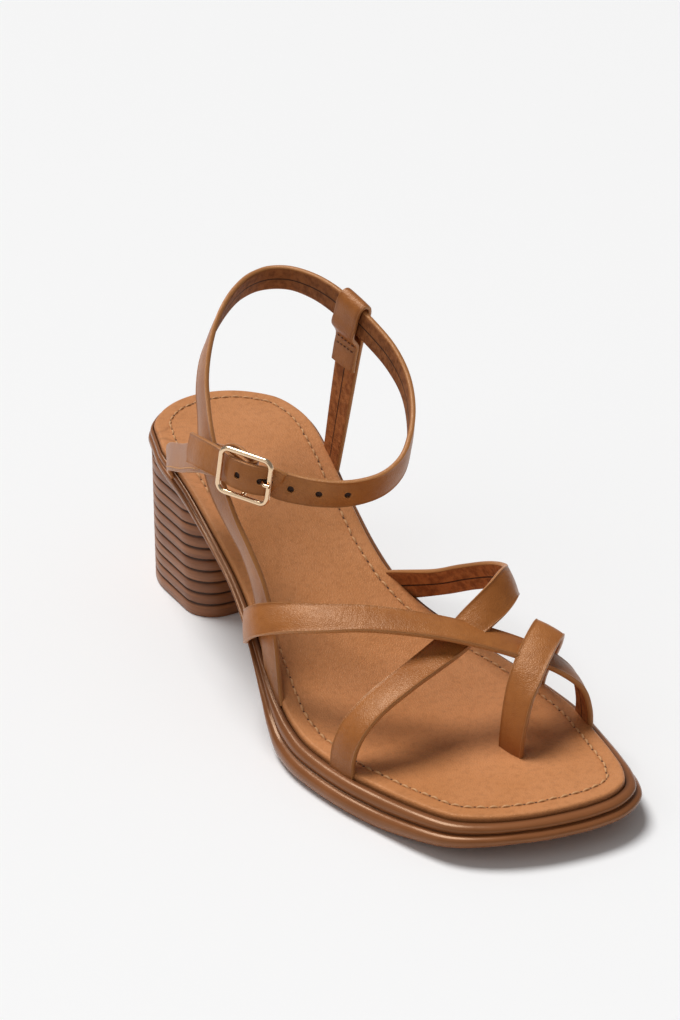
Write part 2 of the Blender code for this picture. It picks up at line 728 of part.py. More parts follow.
def ankle_path():
    """From the foot on the lateral side, through the fold, round the heel, to the tip."""
    front = [buckle_row(SIDE_BAR, STRAP_UNDER_BAR),
             buckle_row(SIDE_BAR * 0.45, STRAP_OVER_BAR - 0.25 * CENTRE_BAR),
             buckle_row(0.0, STRAP_OVER_BAR),
             buckle_row(-SIDE_BAR * 0.45, STRAP_OVER_BAR - 0.35 * CENTRE_BAR),
             buckle_row(-SIDE_BAR, STRAP_UNDER_BAR)]
    rows = table_rows(ANKLE_FOOT)[::-1] + table_rows(ANKLE_RING) + front + table_rows(ANKLE_TIP)
    return strap_path(rows, start=ANKLE_TO)


def hole_cutter(centre, direction, lengthways, diameter, length):
    """Round or oval punch through a strap."""
    direction, lengthways = unit(direction), unit(lengthways)
    across = np.cross(direction, lengthways)
    turn = 2 * np.pi * np.arange(12) / 12
    ring = [centre + across * diameter / 2 * math.sin(a)
            + lengthways * (diameter / 2 * math.cos(a)
                            + math.copysign((length - diameter) / 2, math.cos(a)))
            for a in turn + 0.01]
    depth = direction * 2 * STRAP_THICKNESS
    verts = [p - depth for p in ring] + [p + depth for p in ring]
    n = len(ring)
    faces = [tuple(range(n))[::-1], tuple(range(n, 2 * n))]
    faces += [(i, (i + 1) % n, n + (i + 1) % n, n + i) for i in range(n)]
    return make_object("punch", verts, faces)


def build_ankle_strap(parent, material, path):
    verts, faces = ribbon(path, ANKLE_WIDTH, ANKLE_THICKNESS, trim_start=strap_level)
    strap = make_object("ankle_strap", verts, faces, parent, material)
    centre, ahead, side, face = frames(path)
    walked = np.concatenate([[0], np.cumsum(np.linalg.norm(np.diff(centre, axis=0), axis=1))])
    along_u = (centre - BUCKLE_CENTRE) @ AXIS_U
    last = len(path) - 1
    prong_at = max(i for i in range(last) if along_u[i] > PRONG_HOLE_U)
    share = (along_u[prong_at] - PRONG_HOLE_U) / (along_u[prong_at] - along_u[prong_at + 1])
    prong_walk = walked[prong_at] + share * (walked[prong_at + 1] - walked[prong_at])
    for k in range(-1, FRONT_HOLES + 1):
        at = prong_walk - k * HOLE_SPACING
        place = np.array([np.interp(at, walked, centre[:, j]) for j in range(3)])
        out = np.array([np.interp(at, walked, face[:, j]) for j in range(3)])
        i = int(np.searchsorted(walked, at))
        length = PRONG_HOLE_LENGTH if k == 0 else HOLE_DIAMETER
        width = PRONG + 3 * GAP if k == 0 else HOLE_DIAMETER
        apply_boolean(strap, hole_cutter(place, out, ahead[i], width, length), "DIFFERENCE")
    return strap


def build_quarter_strap(parent, material):
    """Strap from the lateral heel round the buckle's bar and back inside the ankle strap."""
    outer = table_rows(QUARTER_STRAP)
    bend = CENTRE_BAR / 2 + GAP + QUARTER_THICKNESS / 2
    wrap = [buckle_row(-SIDE_BAR, QUARTER_OUTER), buckle_row(-1.6 * bend, WRAP_OUTER - 0.7 * bend)]
    for angle in (80, 40, 0, -40, -80):
        a = math.radians(angle)
        place = at_buckle(bend * math.cos(a), 0.0, -BAR_DROP + bend * math.sin(a))
        wrap.append(np.array([*place, *unit(math.cos(a) * AXIS_U + math.sin(a) * AXIS_N)]))
    wrap.append(beneath(buckle_row(-1.7 * bend, WRAP_INNER - 0.6 * bend), 0.0))
    wrap.append(beneath(buckle_row(-SIDE_BAR, QUARTER_INNER), 0.0))
    deep = QUARTER_OUTER - QUARTER_INNER
    flap = [beneath(row, deep) for row in outer[::-1][:QUARTER_TUNNEL_ROWS]]
    last = outer[-QUARTER_TUNNEL_ROWS - 1]
    flap.append(beneath(last, QUARTER_THICKNESS + GAP + ROOM))
    path = strap_path(outer + wrap + flap, start=QUARTER_FROM)
    verts, faces = ribbon(path, QUARTER_WIDTH, QUARTER_THICKNESS, crown=0.0,
                          trim_start=strap_level)
    strap = make_object("quarter_strap", verts, faces, parent, material)
    slot = hole_cutter(at_buckle(bend * 0.6, 0.0, -BAR_DROP), AXIS_N, AXIS_U,
                       PRONG + 2 * (GAP + ROOM), 5.2 * bend)
    apply_boolean(strap, slot, "DIFFERENCE")
    return path


def build_tab(parent, material, ankle):
    """Medial tab: up from the sole, over the ankle strap and stitched to itself inside."""
    y_loop = HEEL_Y - TAB_LOOP_ALONG * INSOLE_LENGTH
    centre, ahead, side, face = frames(ankle)
    medial = [i for i in range(len(ankle)) if centre[i, 0] > 0]
    at = min(medial, key=lambda i: abs(centre[i, 1] - y_loop))
    place, out, rise = centre[at], face[at], side[at]
    rise = rise * math.copysign(1.0, rise[2])
    half = ANKLE_WIDTH / 2
    away = ANKLE_THICKNESS / 2 + GAP + 2 * ROOM + TAB_THICKNESS / 2

    def row(n, w, look):
        return np.array([*(place + out * n + rise * w), *unit(look)])

    above = half + GAP + TAB_THICKNESS / 2
    loop = [row(away, -half - TAB_STITCH_DROP, out), row(away, -0.3 * half, out),
            row(away, 0.75 * half, out), row(0.65 * away, above - 0.1 * away, out + rise),
            row(0.0, above + 0.2 * away, rise), row(-0.65 * away, above - 0.1 * away, rise - out),
            row(-away, 0.75 * half, -out), row(-away, -0.3 * half, -out),
            row(-away, -half - 0.2 * TAB_STITCH_DROP, -out)]
    foot = strap_foot(TAB_FROM)
    stitch = loop[0][:3]
    down = unit(foot[:3] - stitch)
    flap = []
    for drop in (0.3 * TAB_STITCH_DROP, TAB_FLAP / 2, TAB_FLAP):
        point = stitch + down * drop - out * (TAB_THICKNESS + GAP)
        flap.append(np.array([*point, *-out]))
    path = strap_path(loop + flap, start=TAB_FROM)
    reach = np.concatenate([[0], np.cumsum(np.linalg.norm(np.diff(path[:, :3], axis=0), axis=1))])
    rising = np.linalg.norm(stitch - foot[:3])
    widths = TAB_BASE_WIDTH + (TAB_LOOP_WIDTH - TAB_BASE_WIDTH) * np.clip(reach / rising, 0, 1)
    verts, faces = ribbon(path, TAB_LOOP_WIDTH, TAB_THICKNESS, crown=0.0, trim_start=strap_level,
                          widths=widths)
    make_object("medial_tab", verts, faces, parent, material)
    return path


def build_buckle(parent, material):
    """Rounded frame with a dropped centre bar, and the prong that turns on the bar."""
    half_u, half_v = FRAME_LENGTH / 2 - WIRE / 2, FRAME_WIDTH / 2 - WIRE / 2
    radius = FRAME_CORNER - WIRE / 2
    points = []
    for su, sv, start in ((1, 1, 0), (-1, 1, 90), (-1, -1, 180), (1, -1, 270)):
        for step in range(5):
            a = math.radians(start + 22.5 * step)
            points.append(at_buckle(su * (half_u - radius) + radius * math.cos(a),
                                    sv * (half_v - radius) + radius * math.sin(a), 0.0))
    verts, faces = round_wire(points, WIRE / 2, 8, closed=True)
    frame = make_object("buckle_frame", verts, faces, parent, material)
    leg = half_v - CENTRE_BAR / 2
    side = [(half_v, 0.0), (leg, -0.35 * BAR_DROP), (leg - 0.2 * CENTRE_BAR, -0.8 * BAR_DROP),
            (leg - 0.8 * CENTRE_BAR, -BAR_DROP)]
    bar = [at_buckle(0.0, v, n) for v, n in side]
    bar += [at_buckle(0.0, -v, n) for v, n in side[::-1]]
    verts, faces = round_wire(bar, CENTRE_BAR / 2, 8)
    frame = apply_boolean(frame, make_object("centre_bar", verts, faces), "UNION")
    eye = CENTRE_BAR / 2 + GAP + PRONG / 2
    hook = []
    for angle in (-60, -105, -150, -195, -240):
        a = math.radians(angle)
        hook.append((eye * math.cos(a), -BAR_DROP + eye * math.sin(a)))
    lift = WIRE / 2 + GAP + PRONG / 2
    low = -BAR_DROP + eye
    arm = [(0.10 * SIDE_BAR, low), (0.45 * SIDE_BAR, low - 0.1 * PRONG),
           (0.64 * SIDE_BAR, low + 0.6 * PRONG), (0.80 * SIDE_BAR, 0.45 * lift),
           (0.92 * SIDE_BAR, 0.95 * lift), (1.12 * SIDE_BAR, 0.98 * lift)]
    points = [at_buckle(u, 0.0, n) for u, n in hook + arm]
    verts, faces = round_wire(points, PRONG / 2, 8)
    return frame, make_object("buckle_prong", verts, faces, parent, material)


def clear_scene():
    for obj in list(bpy.data.objects):
        bpy.data.objects.remove(obj)


def main():
    clear_scene()
    shoe = bpy.data.objects.new("sandal", None)
    bpy.context.scene.collection.objects.link(shoe)
    leather = make_material("tan_leather", (0.46, 0.21, 0.085), 0.45)
    lining = make_material("insole_leather", (0.52, 0.26, 0.115), 0.5)
    rubber = make_material("tan_rubber", (0.36, 0.15, 0.06), 0.42)
    brass = make_material("brass", (0.80, 0.62, 0.30), 0.25, 1.0)
    outsole = build_outsole(shoe, rubber)
    insole = build_insole(shoe, lining)
    build_heel(shoe, rubber)
    instep, vamp, toe = build_forefoot_straps(shoe, leather)
    ankle = ankle_path()
    build_ankle_strap(shoe, leather, ankle)
    quarter = build_quarter_strap(shoe, leather)
    tab = build_tab(shoe, leather, ankle)
    build_buckle(shoe, brass)
    feet = [(instep, STRAP_WIDTH, STRAP_THICKNESS, False, STRAP_CROWN),
            (instep, STRAP_WIDTH, STRAP_THICKNESS, True, STRAP_CROWN),
            (vamp, STRAP_WIDTH, STRAP_THICKNESS, False, STRAP_CROWN),
            (vamp, STRAP_WIDTH, STRAP_THICKNESS, True, STRAP_CROWN),
            (toe, STRAP_WIDTH, STRAP_THICKNESS, True, STRAP_CROWN),
            (ankle, ANKLE_WIDTH, ANKLE_THICKNESS, False, STRAP_CROWN),
            (quarter, QUARTER_WIDTH, QUARTER_THICKNESS, False, 0.0),
            (tab, TAB_BASE_WIDTH, TAB_THICKNESS, False, 0.0)]
    for path, width, thickness, at_end, crown in feet:
        for sole_part in (outsole, insole):
            cutter = foot_cutter("pocket", path, width, thickness, at_end, crown)
            apply_boolean(sole_part, cutter, "DIFFERENCE")
    post = foot_cutter("post_slot", toe, STRAP_WIDTH, STRAP_THICKNESS, False)
    apply_boolean(insole, post, "DIFFERENCE")
    wide = ring_at(lambda y: GAP + rim_width(y), top_height)
    shoe.location.x = -(wide[:, 0].min() + wide[:, 0].max()) / 2
    shoe.location.y = -(wide[:, 1].min() + wide[:, 1].max()) / 2


main()
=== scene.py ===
"""Strappy heeled sandal, right shoe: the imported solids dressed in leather, rubber and brass."""

import math

import bmesh
import bpy
import numpy as np
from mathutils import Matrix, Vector


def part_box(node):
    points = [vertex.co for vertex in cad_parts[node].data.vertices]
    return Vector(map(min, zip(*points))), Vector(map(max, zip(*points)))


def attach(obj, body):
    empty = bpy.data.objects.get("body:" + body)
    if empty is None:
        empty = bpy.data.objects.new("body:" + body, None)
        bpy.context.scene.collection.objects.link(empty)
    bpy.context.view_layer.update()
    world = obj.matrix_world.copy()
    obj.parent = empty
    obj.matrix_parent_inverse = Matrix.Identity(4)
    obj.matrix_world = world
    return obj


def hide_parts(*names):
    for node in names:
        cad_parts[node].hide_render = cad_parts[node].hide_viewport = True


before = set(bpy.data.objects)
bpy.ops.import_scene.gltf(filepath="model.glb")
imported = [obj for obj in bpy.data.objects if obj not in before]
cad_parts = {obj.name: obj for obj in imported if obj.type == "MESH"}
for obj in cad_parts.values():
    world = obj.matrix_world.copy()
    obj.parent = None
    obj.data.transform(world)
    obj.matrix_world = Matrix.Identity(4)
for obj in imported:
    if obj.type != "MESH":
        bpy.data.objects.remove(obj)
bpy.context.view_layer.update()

# Sizes of the sandal, in metres, as in the solids
INSOLE_LENGTH = 0.2392
BALL_WIDTH = 0.0886
SEAT_HEIGHT = 0.0616
SEAT_RADIUS = 0.0300
INSOLE_THICKNESS = 0.0026
CREASE_DROP = 0.0018
RIM_AT_BALL = 0.0053
HEEL_BASE_WIDTH = 0.0600
HEEL_TOP_WIDTH = 0.0625
HEEL_BASE_LENGTH = 0.0585
HEEL_TOP_LENGTH = 0.0550
HEEL_CORNER_MEDIAL = 0.0087
HEEL_CORNER_LATERAL = 0.0110
HEEL_BACK_INSET = 0.0012
HEEL_LAYER = 0.00445
STRAP_WIDTH = 0.0110
STRAP_THICKNESS = 0.0022
ANKLE_WIDTH = 0.0105
ANKLE_THICKNESS = 0.0020
QUARTER_WIDTH = 0.0100
QUARTER_THICKNESS = 0.0016
TAB_BASE_WIDTH = 0.0140
TAB_LOOP_WIDTH = 0.0120
TAB_THICKNESS = 0.0016
HOLE_DIAMETER = 0.0024
HOLE_SPACING = 0.0093
FRAME_LENGTH = 0.0205
FRAME_WIDTH = 0.0171
FRAME_CORNER = 0.0036
WIRE = 0.0018
CENTRE_BAR = 0.0016
BAR_DROP = 0.0034
PRONG = 0.0013
GAP = 0.0003
ROOM = 0.0002
FOLD_ROOM = 0.0020
HEEL_Y = INSOLE_LENGTH * 0.5042

SECTIONS = (
    # along, lateral, medial, top, under, rim
    (0.126, 0.341, 0.325, 0.945, 0.815, 0.34),
    (0.212, 0.351, 0.295, 0.866, 0.745, 0.36),
    (0.300, 0.366, 0.249, 0.755, 0.660, 0.42),
    (0.387, 0.380, 0.217, 0.622, 0.540, 0.48),
    (0.446, 0.402, 0.217, 0.522, 0.440, 0.56),
    (0.504, 0.437, 0.258, 0.418, 0.320, 0.62),
    (0.563, 0.471, 0.344, 0.318, 0.175, 0.76),
    (0.600, 0.491, 0.396, 0.268, 0.060, 0.86),
    (0.640, 0.508, 0.437, 0.234, 0.000, 0.95),
    (0.690, 0.514, 0.470, 0.211, 0.000, 1.00),
    (0.772, 0.481, 0.486, 0.202, 0.000, 1.00),
    (0.830, 0.437, 0.465, 0.204, 0.000, 1.00),
    (0.910, 0.362, 0.415, 0.220, 0.040, 1.00),
)
TOE_EDGE = (
    # across, along
    (-0.312, 0.943),
    (-0.222, 0.968),
    (-0.085, 0.988),
    (0.060, 0.998),
    (0.150, 1.000),
    (0.250, 0.996),
    (0.330, 0.980),
    (0.378, 0.952),
)
SEAT_RISE = (
    # along, top, under at the two ends of the sole
    (0.000, 1.000, 0.870),
    (1.000, 0.240, 0.105),
)
RIM_PROFILE = (
    # out: share of the rim, down: share of the height below the crease
    (0.10, 0.000),
    (0.38, 0.035),
    (0.58, 0.130),
    (0.62, 0.240),
    (0.56, 0.340),
    (0.52, 0.390),
    (0.76, 0.440),
    (0.95, 0.530),
    (1.00, 0.640),
    (0.93, 0.800),
    (0.76, 0.930),
    (0.48, 1.000),
)
INSTEP_STRAP = (
    # across, along, up, face x, y, z
    (-0.470, 0.487, 0.490, -0.94, 0.26, 0.18),
    (-0.522, 0.522, 0.590, -0.95, 0.08, 0.26),
    (-0.524, 0.556, 0.682, -0.84, -0.16, 0.50),
    (-0.465, 0.590, 0.735, -0.50, -0.36, 0.78),
    (-0.374, 0.629, 0.772, -0.30, -0.36, 0.88),
    (-0.254, 0.661, 0.788, -0.12, -0.34, 0.93),
    (-0.140, 0.691, 0.782, 0.00, -0.32, 0.95),
    (0.000, 0.725, 0.752, 0.14, -0.30, 0.94),
    (0.135, 0.753, 0.696, 0.24, -0.30, 0.92),
    (0.260, 0.779, 0.625, 0.36, -0.30, 0.88),
    (0.365, 0.799, 0.540, 0.56, -0.28, 0.78),
    (0.440, 0.808, 0.430, 0.84, -0.26, 0.46),
    (0.468, 0.811, 0.300, 0.96, -0.22, 0.14),
)
VAMP_STRAP = (
    # across, along, up, face x, y, z
    (0.312, 0.532, 0.567, 0.86, 0.20, 0.46),
    (0.359, 0.568, 0.642, 0.86, 0.10, 0.50),
    (0.396, 0.609, 0.717, 0.88, -0.05, 0.48),
    (0.395, 0.642, 0.767, 0.86, -0.30, 0.42),
    (0.369, 0.675, 0.815, 0.70, -0.55, 0.46),
    (0.306, 0.702, 0.861, 0.46, -0.66, 0.60),
    (0.233, 0.717, 0.828, 0.22, -0.60, 0.77),
    (0.129, 0.725, 0.754, 0.05, -0.40, 0.91),
    (0.029, 0.730, 0.670, -0.06, -0.22, 0.97),
    (-0.102, 0.741, 0.614, -0.20, -0.10, 0.97),
    (-0.234, 0.753, 0.568, -0.38, -0.08, 0.92),
    (-0.360, 0.760, 0.493, -0.64, -0.10, 0.76),
    (-0.445, 0.764, 0.392, -0.88, -0.12, 0.46),
    (-0.478, 0.764, 0.280, -0.96, -0.14, 0.20),
)
TOE_STRAP = (
    # across, along, up, face x, y, z
    (0.118, 0.835, 0.380, -0.97, -0.20, 0.08),
    (0.146, 0.828, 0.490, -0.92, -0.30, 0.24),
    (0.190, 0.818, 0.575, -0.66, -0.44, 0.60),
    (0.250, 0.802, 0.640, -0.34, -0.40, 0.85),
    (0.318, 0.784, 0.684, -0.10, -0.30, 0.95),
    (0.376, 0.767, 0.690, 0.40, -0.06, 0.91),
    (0.412, 0.748, 0.600, 0.86, 0.20, 0.46),
    (0.434, 0.724, 0.460, 0.90, 0.24, 0.34),
    (0.454, 0.697, 0.300, 0.92, 0.24, 0.28),
)
ANKLE_RING = (
    # across, along, up, face x, y, z
    (-0.376, 0.290, 1.445, -0.94, 0.24, 0.22),
    (-0.334, 0.256, 1.545, -0.92, 0.28, 0.26),
    (-0.268, 0.221, 1.662, -0.82, 0.42, 0.36),
    (-0.182, 0.191, 1.766, -0.66, 0.64, 0.38),
    (-0.080, 0.164, 1.842, -0.42, 0.80, 0.40),
    (0.018, 0.144, 1.874, -0.10, 0.90, 0.40),
    (0.112, 0.138, 1.886, 0.28, 0.85, 0.38),
    (0.188, 0.155, 1.892, 0.66, 0.64, 0.34),
    (0.240, 0.190, 1.882, 0.88, 0.36, 0.20),
    (0.272, 0.232, 1.856, 0.97, 0.18, 0.06),
    (0.294, 0.277, 1.806, 0.98, 0.12, -0.02),
    (0.311, 0.322, 1.750, 0.98, 0.04, -0.03),
    (0.320, 0.373, 1.678, 0.98, -0.08, -0.04),
    (0.308, 0.420, 1.592, 0.92, -0.34, -0.08),
    (0.262, 0.466, 1.500, 0.80, -0.54, -0.14),
    (0.192, 0.506, 1.414, 0.62, -0.74, -0.20),
    (0.108, 0.535, 1.340, 0.38, -0.88, -0.25),
    (0.010, 0.546, 1.288, 0.05, -0.95, -0.28),
    (-0.112, 0.538, 1.260, -0.30, -0.92, -0.22),
    (-0.226, 0.516, 1.264, -0.54, -0.83, -0.10),
    (-0.322, 0.486, 1.286, -0.70, -0.71, 0.04),
)
ANKLE_FOOT = (
    # across, along, up, face x, y, z
    (-0.422, 0.331, 1.340, -0.96, 0.02, 0.20),
    (-0.438, 0.357, 1.250, -0.97, 0.02, 0.20),
    (-0.450, 0.386, 1.148, -0.96, 0.10, 0.18),
    (-0.449, 0.427, 1.015, -0.94, 0.27, 0.12),
    (-0.435, 0.459, 0.890, -0.94, 0.29, 0.09),
    (-0.428, 0.490, 0.742, -0.96, 0.14, 0.08),
    (-0.440, 0.523, 0.560, -0.98, 0.00, 0.06),
)
ANKLE_TIP = (
    # across, along, up, face x, y, z
    (-0.492, 0.372, 1.342, -0.95, -0.12, 0.24),
    (-0.490, 0.330, 1.315, -0.96, -0.02, 0.24),
)
QUARTER_STRAP = (
    # across, along, up, face x, y, z
    (-0.406, 0.199, 1.019, -0.93, 0.10, 0.26),
    (-0.444, 0.273, 1.144, -0.95, 0.06, 0.24),
    (-0.458, 0.311, 1.215, -0.96, 0.02, 0.22),
    (-0.463, 0.343, 1.262, -0.97, -0.02, 0.20),
    (-0.463, 0.378, 1.304, -0.96, -0.14, 0.20),
)
QUARTER_TUNNEL_ROWS = 3
TAB_LOOP_ALONG = 0.278
TAB_STITCH_DROP = 0.0040
TAB_FLAP = 0.0120
INSTEP_FROM = ("lateral", 0.460)
INSTEP_TO = ("medial", 0.811)
VAMP_FROM = ("medial", 0.462)
VAMP_TO = ("lateral", 0.765)
TOE_TO = ("medial", 0.684)
ANKLE_TO = ("lateral", 0.577)
QUARTER_FROM = ("lateral", 0.160)
TAB_FROM = ("medial", 0.226)
POST_ACROSS = 0.102
POST_ALONG = 0.839
POST_TURN = math.radians(7.0)
BUCKLE_ACROSS = -0.4345
BUCKLE_ALONG = 0.454
BUCKLE_UP = 1.328
BUCKLE_FORWARD = (0.525, -0.845, -0.09)
BUCKLE_UPWARD = (0.12, -0.045, 0.99)

# Stitching round the insole
STITCH_INSET = 0.0057
STITCH_PITCH = 0.0039
STITCH_LENGTH = 0.0031
STITCH_WIDTH = 0.0009
STITCH_RISE = 0.00022
NEEDLE_HOLE_RADIUS = 0.00034
# Stitching on the quarter strap and the tab
SEAM_WIDTH = 0.0005
QUARTER_SEAM_OFF = 0.0036
QUARTER_SEAM_PITCH = 0.0026
QUARTER_SEAM_START = 0.002
QUARTER_SEAM_RISE = 0.00016
TAB_SEAM_HALF = 0.0048
TAB_SEAM_STITCHES = 5
TAB_SEAM_DROPS = (0.0004, 0.0032)
TAB_SEAM_RISE = 0.00014

# The scene's own shapes: strap ends in the sole, painted shade at the strap feet, soft edges,
# grooves
SUNK = 0.0045
FOOT_SHADE_REACH = 0.011
STRAP_CROWN = 0.0004
FLAT_CROWN = 0.0001
INSOLE_EDGE = 0.0012
INSOLE_UNDERCUT = 0.0004
SOLE_UNDER_INSETS = (0.003, 0.008)
SHADE_DISC_DEPTH = 0.0002
HEEL_GROOVE_PROFILE = (
    # height from the groove's middle, inset, darkness
    (-0.00075, 0.0, 0.0),
    (-0.0004, 0.00025, 0.35),
    (-0.0002, 0.0007, 1.0),
    (0.0002, 0.0007, 1.0),
    (0.0004, 0.00025, 0.35),
    (0.00075, 0.0, 0.0),
)

# Fineness of the visual meshes
STATIONS = 150
SPAN_STEPS = 12
INSOLE_STEPS = 40
PUNCH_SIDES = 24
SHADE_DISC_SIDES = 20

# Camera of the photograph, in the row frame
CAMERA_PLACE = (-0.39055, -0.65741, 0.44508)
CAMERA_TURN = (63.635, -0.831, -29.766)
CAMERA_LENS_PIXELS = 2568.2
IMAGE_HEIGHT = 1020.0
SENSOR = 36.0


def smooth_path(rows, per_span):
    """Catmull-Rom curve through rows, spaced by the distance between them."""
    rows = np.array(rows, float)
    steps = np.sqrt(np.linalg.norm(np.diff(rows[:, :3], axis=0), axis=1))
    ends = (2 * rows[0] - rows[1], 2 * rows[-1] - rows[-2])
    pts = np.vstack([ends[0], rows, ends[1]])
    knots = np.concatenate([[-steps[0]], [0], np.cumsum(steps), [steps.sum() + steps[-1]]])
    out = []
    for i in range(1, len(pts) - 2):
        k0, k1, k2, k3 = knots[i - 1:i + 3]
        for t in np.linspace(k1, k2, per_span, endpoint=False):
            a1 = ((k1 - t) * pts[i - 1] + (t - k0) * pts[i]) / (k1 - k0)
            a2 = ((k2 - t) * pts[i] + (t - k1) * pts[i + 1]) / (k2 - k1)
            a3 = ((k3 - t) * pts[i + 1] + (t - k2) * pts[i + 2]) / (k3 - k2)
            b1 = ((k2 - t) * a1 + (t - k0) * a2) / (k2 - k0)
            b2 = ((k3 - t) * a2 + (t - k1) * a3) / (k3 - k1)
            out.append(((k2 - t) * b1 + (t - k1) * b2) / (k2 - k1))
    out.append(pts[-2])
    return np.array(out)


def monotone(xs, ys, x):
    """Cubic through the table's points that never overshoots them."""
    xs, ys = np.array(xs, float), np.array(ys, float)
    step = np.diff(xs)
    slope = np.diff(ys) / step
    tangent = np.zeros(len(xs))
    tangent[0], tangent[-1] = slope[0], slope[-1]
    for i in range(1, len(xs) - 1):
        if slope[i - 1] * slope[i] > 0:
            w1, w2 = 2 * step[i] + step[i - 1], step[i] + 2 * step[i - 1]
            tangent[i] = (w1 + w2) / (w1 / slope[i - 1] + w2 / slope[i])
    x = np.clip(x, xs[0], xs[-1])
    i = np.clip(np.searchsorted(xs, x) - 1, 0, len(xs) - 2)
    t = (x - xs[i]) / step[i]
    lift = 1 - t
    return ((1 + 2 * t) * lift ** 2 * ys[i] + t * lift ** 2 * step[i] * tangent[i]
            + t * t * (3 - 2 * t) * ys[i + 1] - t * t * lift * step[i] * tangent[i + 1])


def section_value(y, column, at_heel, at_toe):
    xs = [0.0] + [row[0] for row in SECTIONS] + [1.0]
    ys = [at_heel] + [row[column] for row in SECTIONS] + [at_toe]
    return monotone(xs, ys, (HEEL_Y - y) / INSOLE_LENGTH)


def top_height(y):
    return SEAT_HEIGHT * section_value(y, 3, SEAT_RISE[0][1], SEAT_RISE[1][1])


def under_height(y):
    return SEAT_HEIGHT * section_value(y, 4, SEAT_RISE[0][2], SEAT_RISE[1][2])


def rim_width(y):
    return RIM_AT_BALL * section_value(y, 5, SECTIONS[0][5], 1.0)


def insole_outline():
    """The insole's edge as a dense closed loop: medial side to the toe, lateral side back."""
    centre = HEEL_Y - SEAT_RADIUS
    arc = [(SEAT_RADIUS * math.sin(a), centre + SEAT_RADIUS * math.cos(a))
           for a in np.radians(np.arange(-60, 61, 15))]
    medial = [(row[2] * BALL_WIDTH, HEEL_Y - row[0] * INSOLE_LENGTH) for row in SECTIONS]
    lateral = [(-row[1] * BALL_WIDTH, HEEL_Y - row[0] * INSOLE_LENGTH) for row in SECTIONS]
    toe = [(a * BALL_WIDTH, HEEL_Y - s * INSOLE_LENGTH) for a, s in TOE_EDGE]
    loop = arc + medial + toe[::-1] + lateral[::-1]
    rows = [(x, y, 0.0) for x, y in loop[-2:] + loop + loop[:2]]
    per_span = 24
    return smooth_path(rows, per_span)[2 * per_span:-2 * per_span, :2]


def offset_loop(loop, distance):
    ahead = np.roll(loop, -1, axis=0) - np.roll(loop, 1, axis=0)
    ahead /= np.linalg.norm(ahead, axis=1)[:, None]
    outward = np.column_stack([-ahead[:, 1], ahead[:, 0]])
    return loop + outward * np.atleast_1d(distance).reshape(-1, 1)


OUTLINE = insole_outline()
RIM = offset_loop(OUTLINE, GAP + rim_width(OUTLINE[:, 1]))
SOLE_LOW, SOLE_HIGH = (np.array(corner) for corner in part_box("outsole"))
SHIFT = np.array([*((SOLE_LOW + SOLE_HIGH)[:2] / 2 - (RIM.min(axis=0) + RIM.max(axis=0)) / 2), 0.0])


def place_in_frame(verts):
    """The tables are centred on the insole; the row frame is centred on the whole sandal."""
    return np.array(verts, float) + SHIFT


def station_loop(loop, stations=STATIONS):
    """Vertices of a loop at paired stations: heel tip, lateral side, toe tip, medial side."""
    heel, toe = int(loop[:, 1].argmax()), int(loop[:, 1].argmin())
    turned = np.roll(loop, -heel, axis=0)
    toe = (toe - heel) % len(loop)
    medial = turned[:toe + 1]
    lateral = np.vstack([turned[toe:], turned[:1]])[::-1]
    share = (1 - np.cos(np.pi * np.arange(1, stations) / stations)) / 2
    y = turned[0, 1] + (turned[toe, 1] - turned[0, 1]) * share
    x_medial = np.interp(-y, -medial[:, 1], medial[:, 0])
    x_lateral = np.interp(-y, -lateral[:, 1], lateral[:, 0])
    left = np.column_stack([x_lateral, y])
    right = np.column_stack([x_medial, y])[::-1]
    return np.vstack([turned[:1], left, turned[toe:toe + 1], right])


def ring_at(distance, height):
    far = distance(OUTLINE[:, 1]) if callable(distance) else distance
    loop = station_loop(offset_loop(OUTLINE, far))
    return np.column_stack([loop, height(loop[:, 1])])


def unit(v):
    v = np.array(v, float)
    return v / np.linalg.norm(v)


def table_rows(table):
    scale = np.array([BALL_WIDTH, -INSOLE_LENGTH, SEAT_HEIGHT, 1.0, 1.0, 1.0])
    origin = np.array([0.0, HEEL_Y, 0.0, 0.0, 0.0, 0.0])
    return [origin + scale * np.array(row) for row in table]


def edge_point(side, along):
    """Point on the insole's edge and the outward direction there."""
    y = HEEL_Y - along * INSOLE_LENGTH
    outward = offset_loop(OUTLINE, 1.0) - OUTLINE
    sign = 1.0 if side == "medial" else -1.0
    near = np.where(OUTLINE[:, 0] * sign > 0)[0]
    i = near[np.abs(OUTLINE[near, 1] - y).argmin()]
    return np.array([OUTLINE[i, 0], y]), outward[i]


def seat_level(y):
    return top_height(y) - INSOLE_THICKNESS - GAP


def strap_foot(anchor):
    place, outward = edge_point(*anchor)
    face = unit([outward[0], outward[1], 0.15])
    return np.array([place[0], place[1], seat_level(place[1]) + GAP, *face])


def lengths_along(points):
    """Distance walked from the first point to each point."""
    return np.concatenate([[0], np.cumsum(np.linalg.norm(np.diff(points, axis=0), axis=1))])


def frames(path):
    centre, face = path[:, :3], path[:, 3:6]
    ahead = np.gradient(centre, axis=0)
    ahead /= np.linalg.norm(ahead, axis=1)[:, None]
    face = face - ahead * (face * ahead).sum(1)[:, None]
    face /= np.linalg.norm(face, axis=1)[:, None]
    return centre, ahead, np.cross(ahead, face), face


def strap_path(rows, start=None, end=None):
    """Dense route; each end at the sole is carried on a little into it."""
    points = list(rows)
    if start:
        points = [strap_foot(start)] + points
    if end:
        points = points + [strap_foot(end)]
    path = smooth_path(points, SPAN_STEPS)
    for anchor, foot, near in ((start, 0, 3), (end, -1, -4)):
        if anchor:
            away = unit(path[foot, :3] - path[near, :3])
            sunk = path[foot].copy()
            sunk[:3] += away * SUNK
            path = np.vstack([sunk, path]) if foot == 0 else np.vstack([path, sunk])
    return path


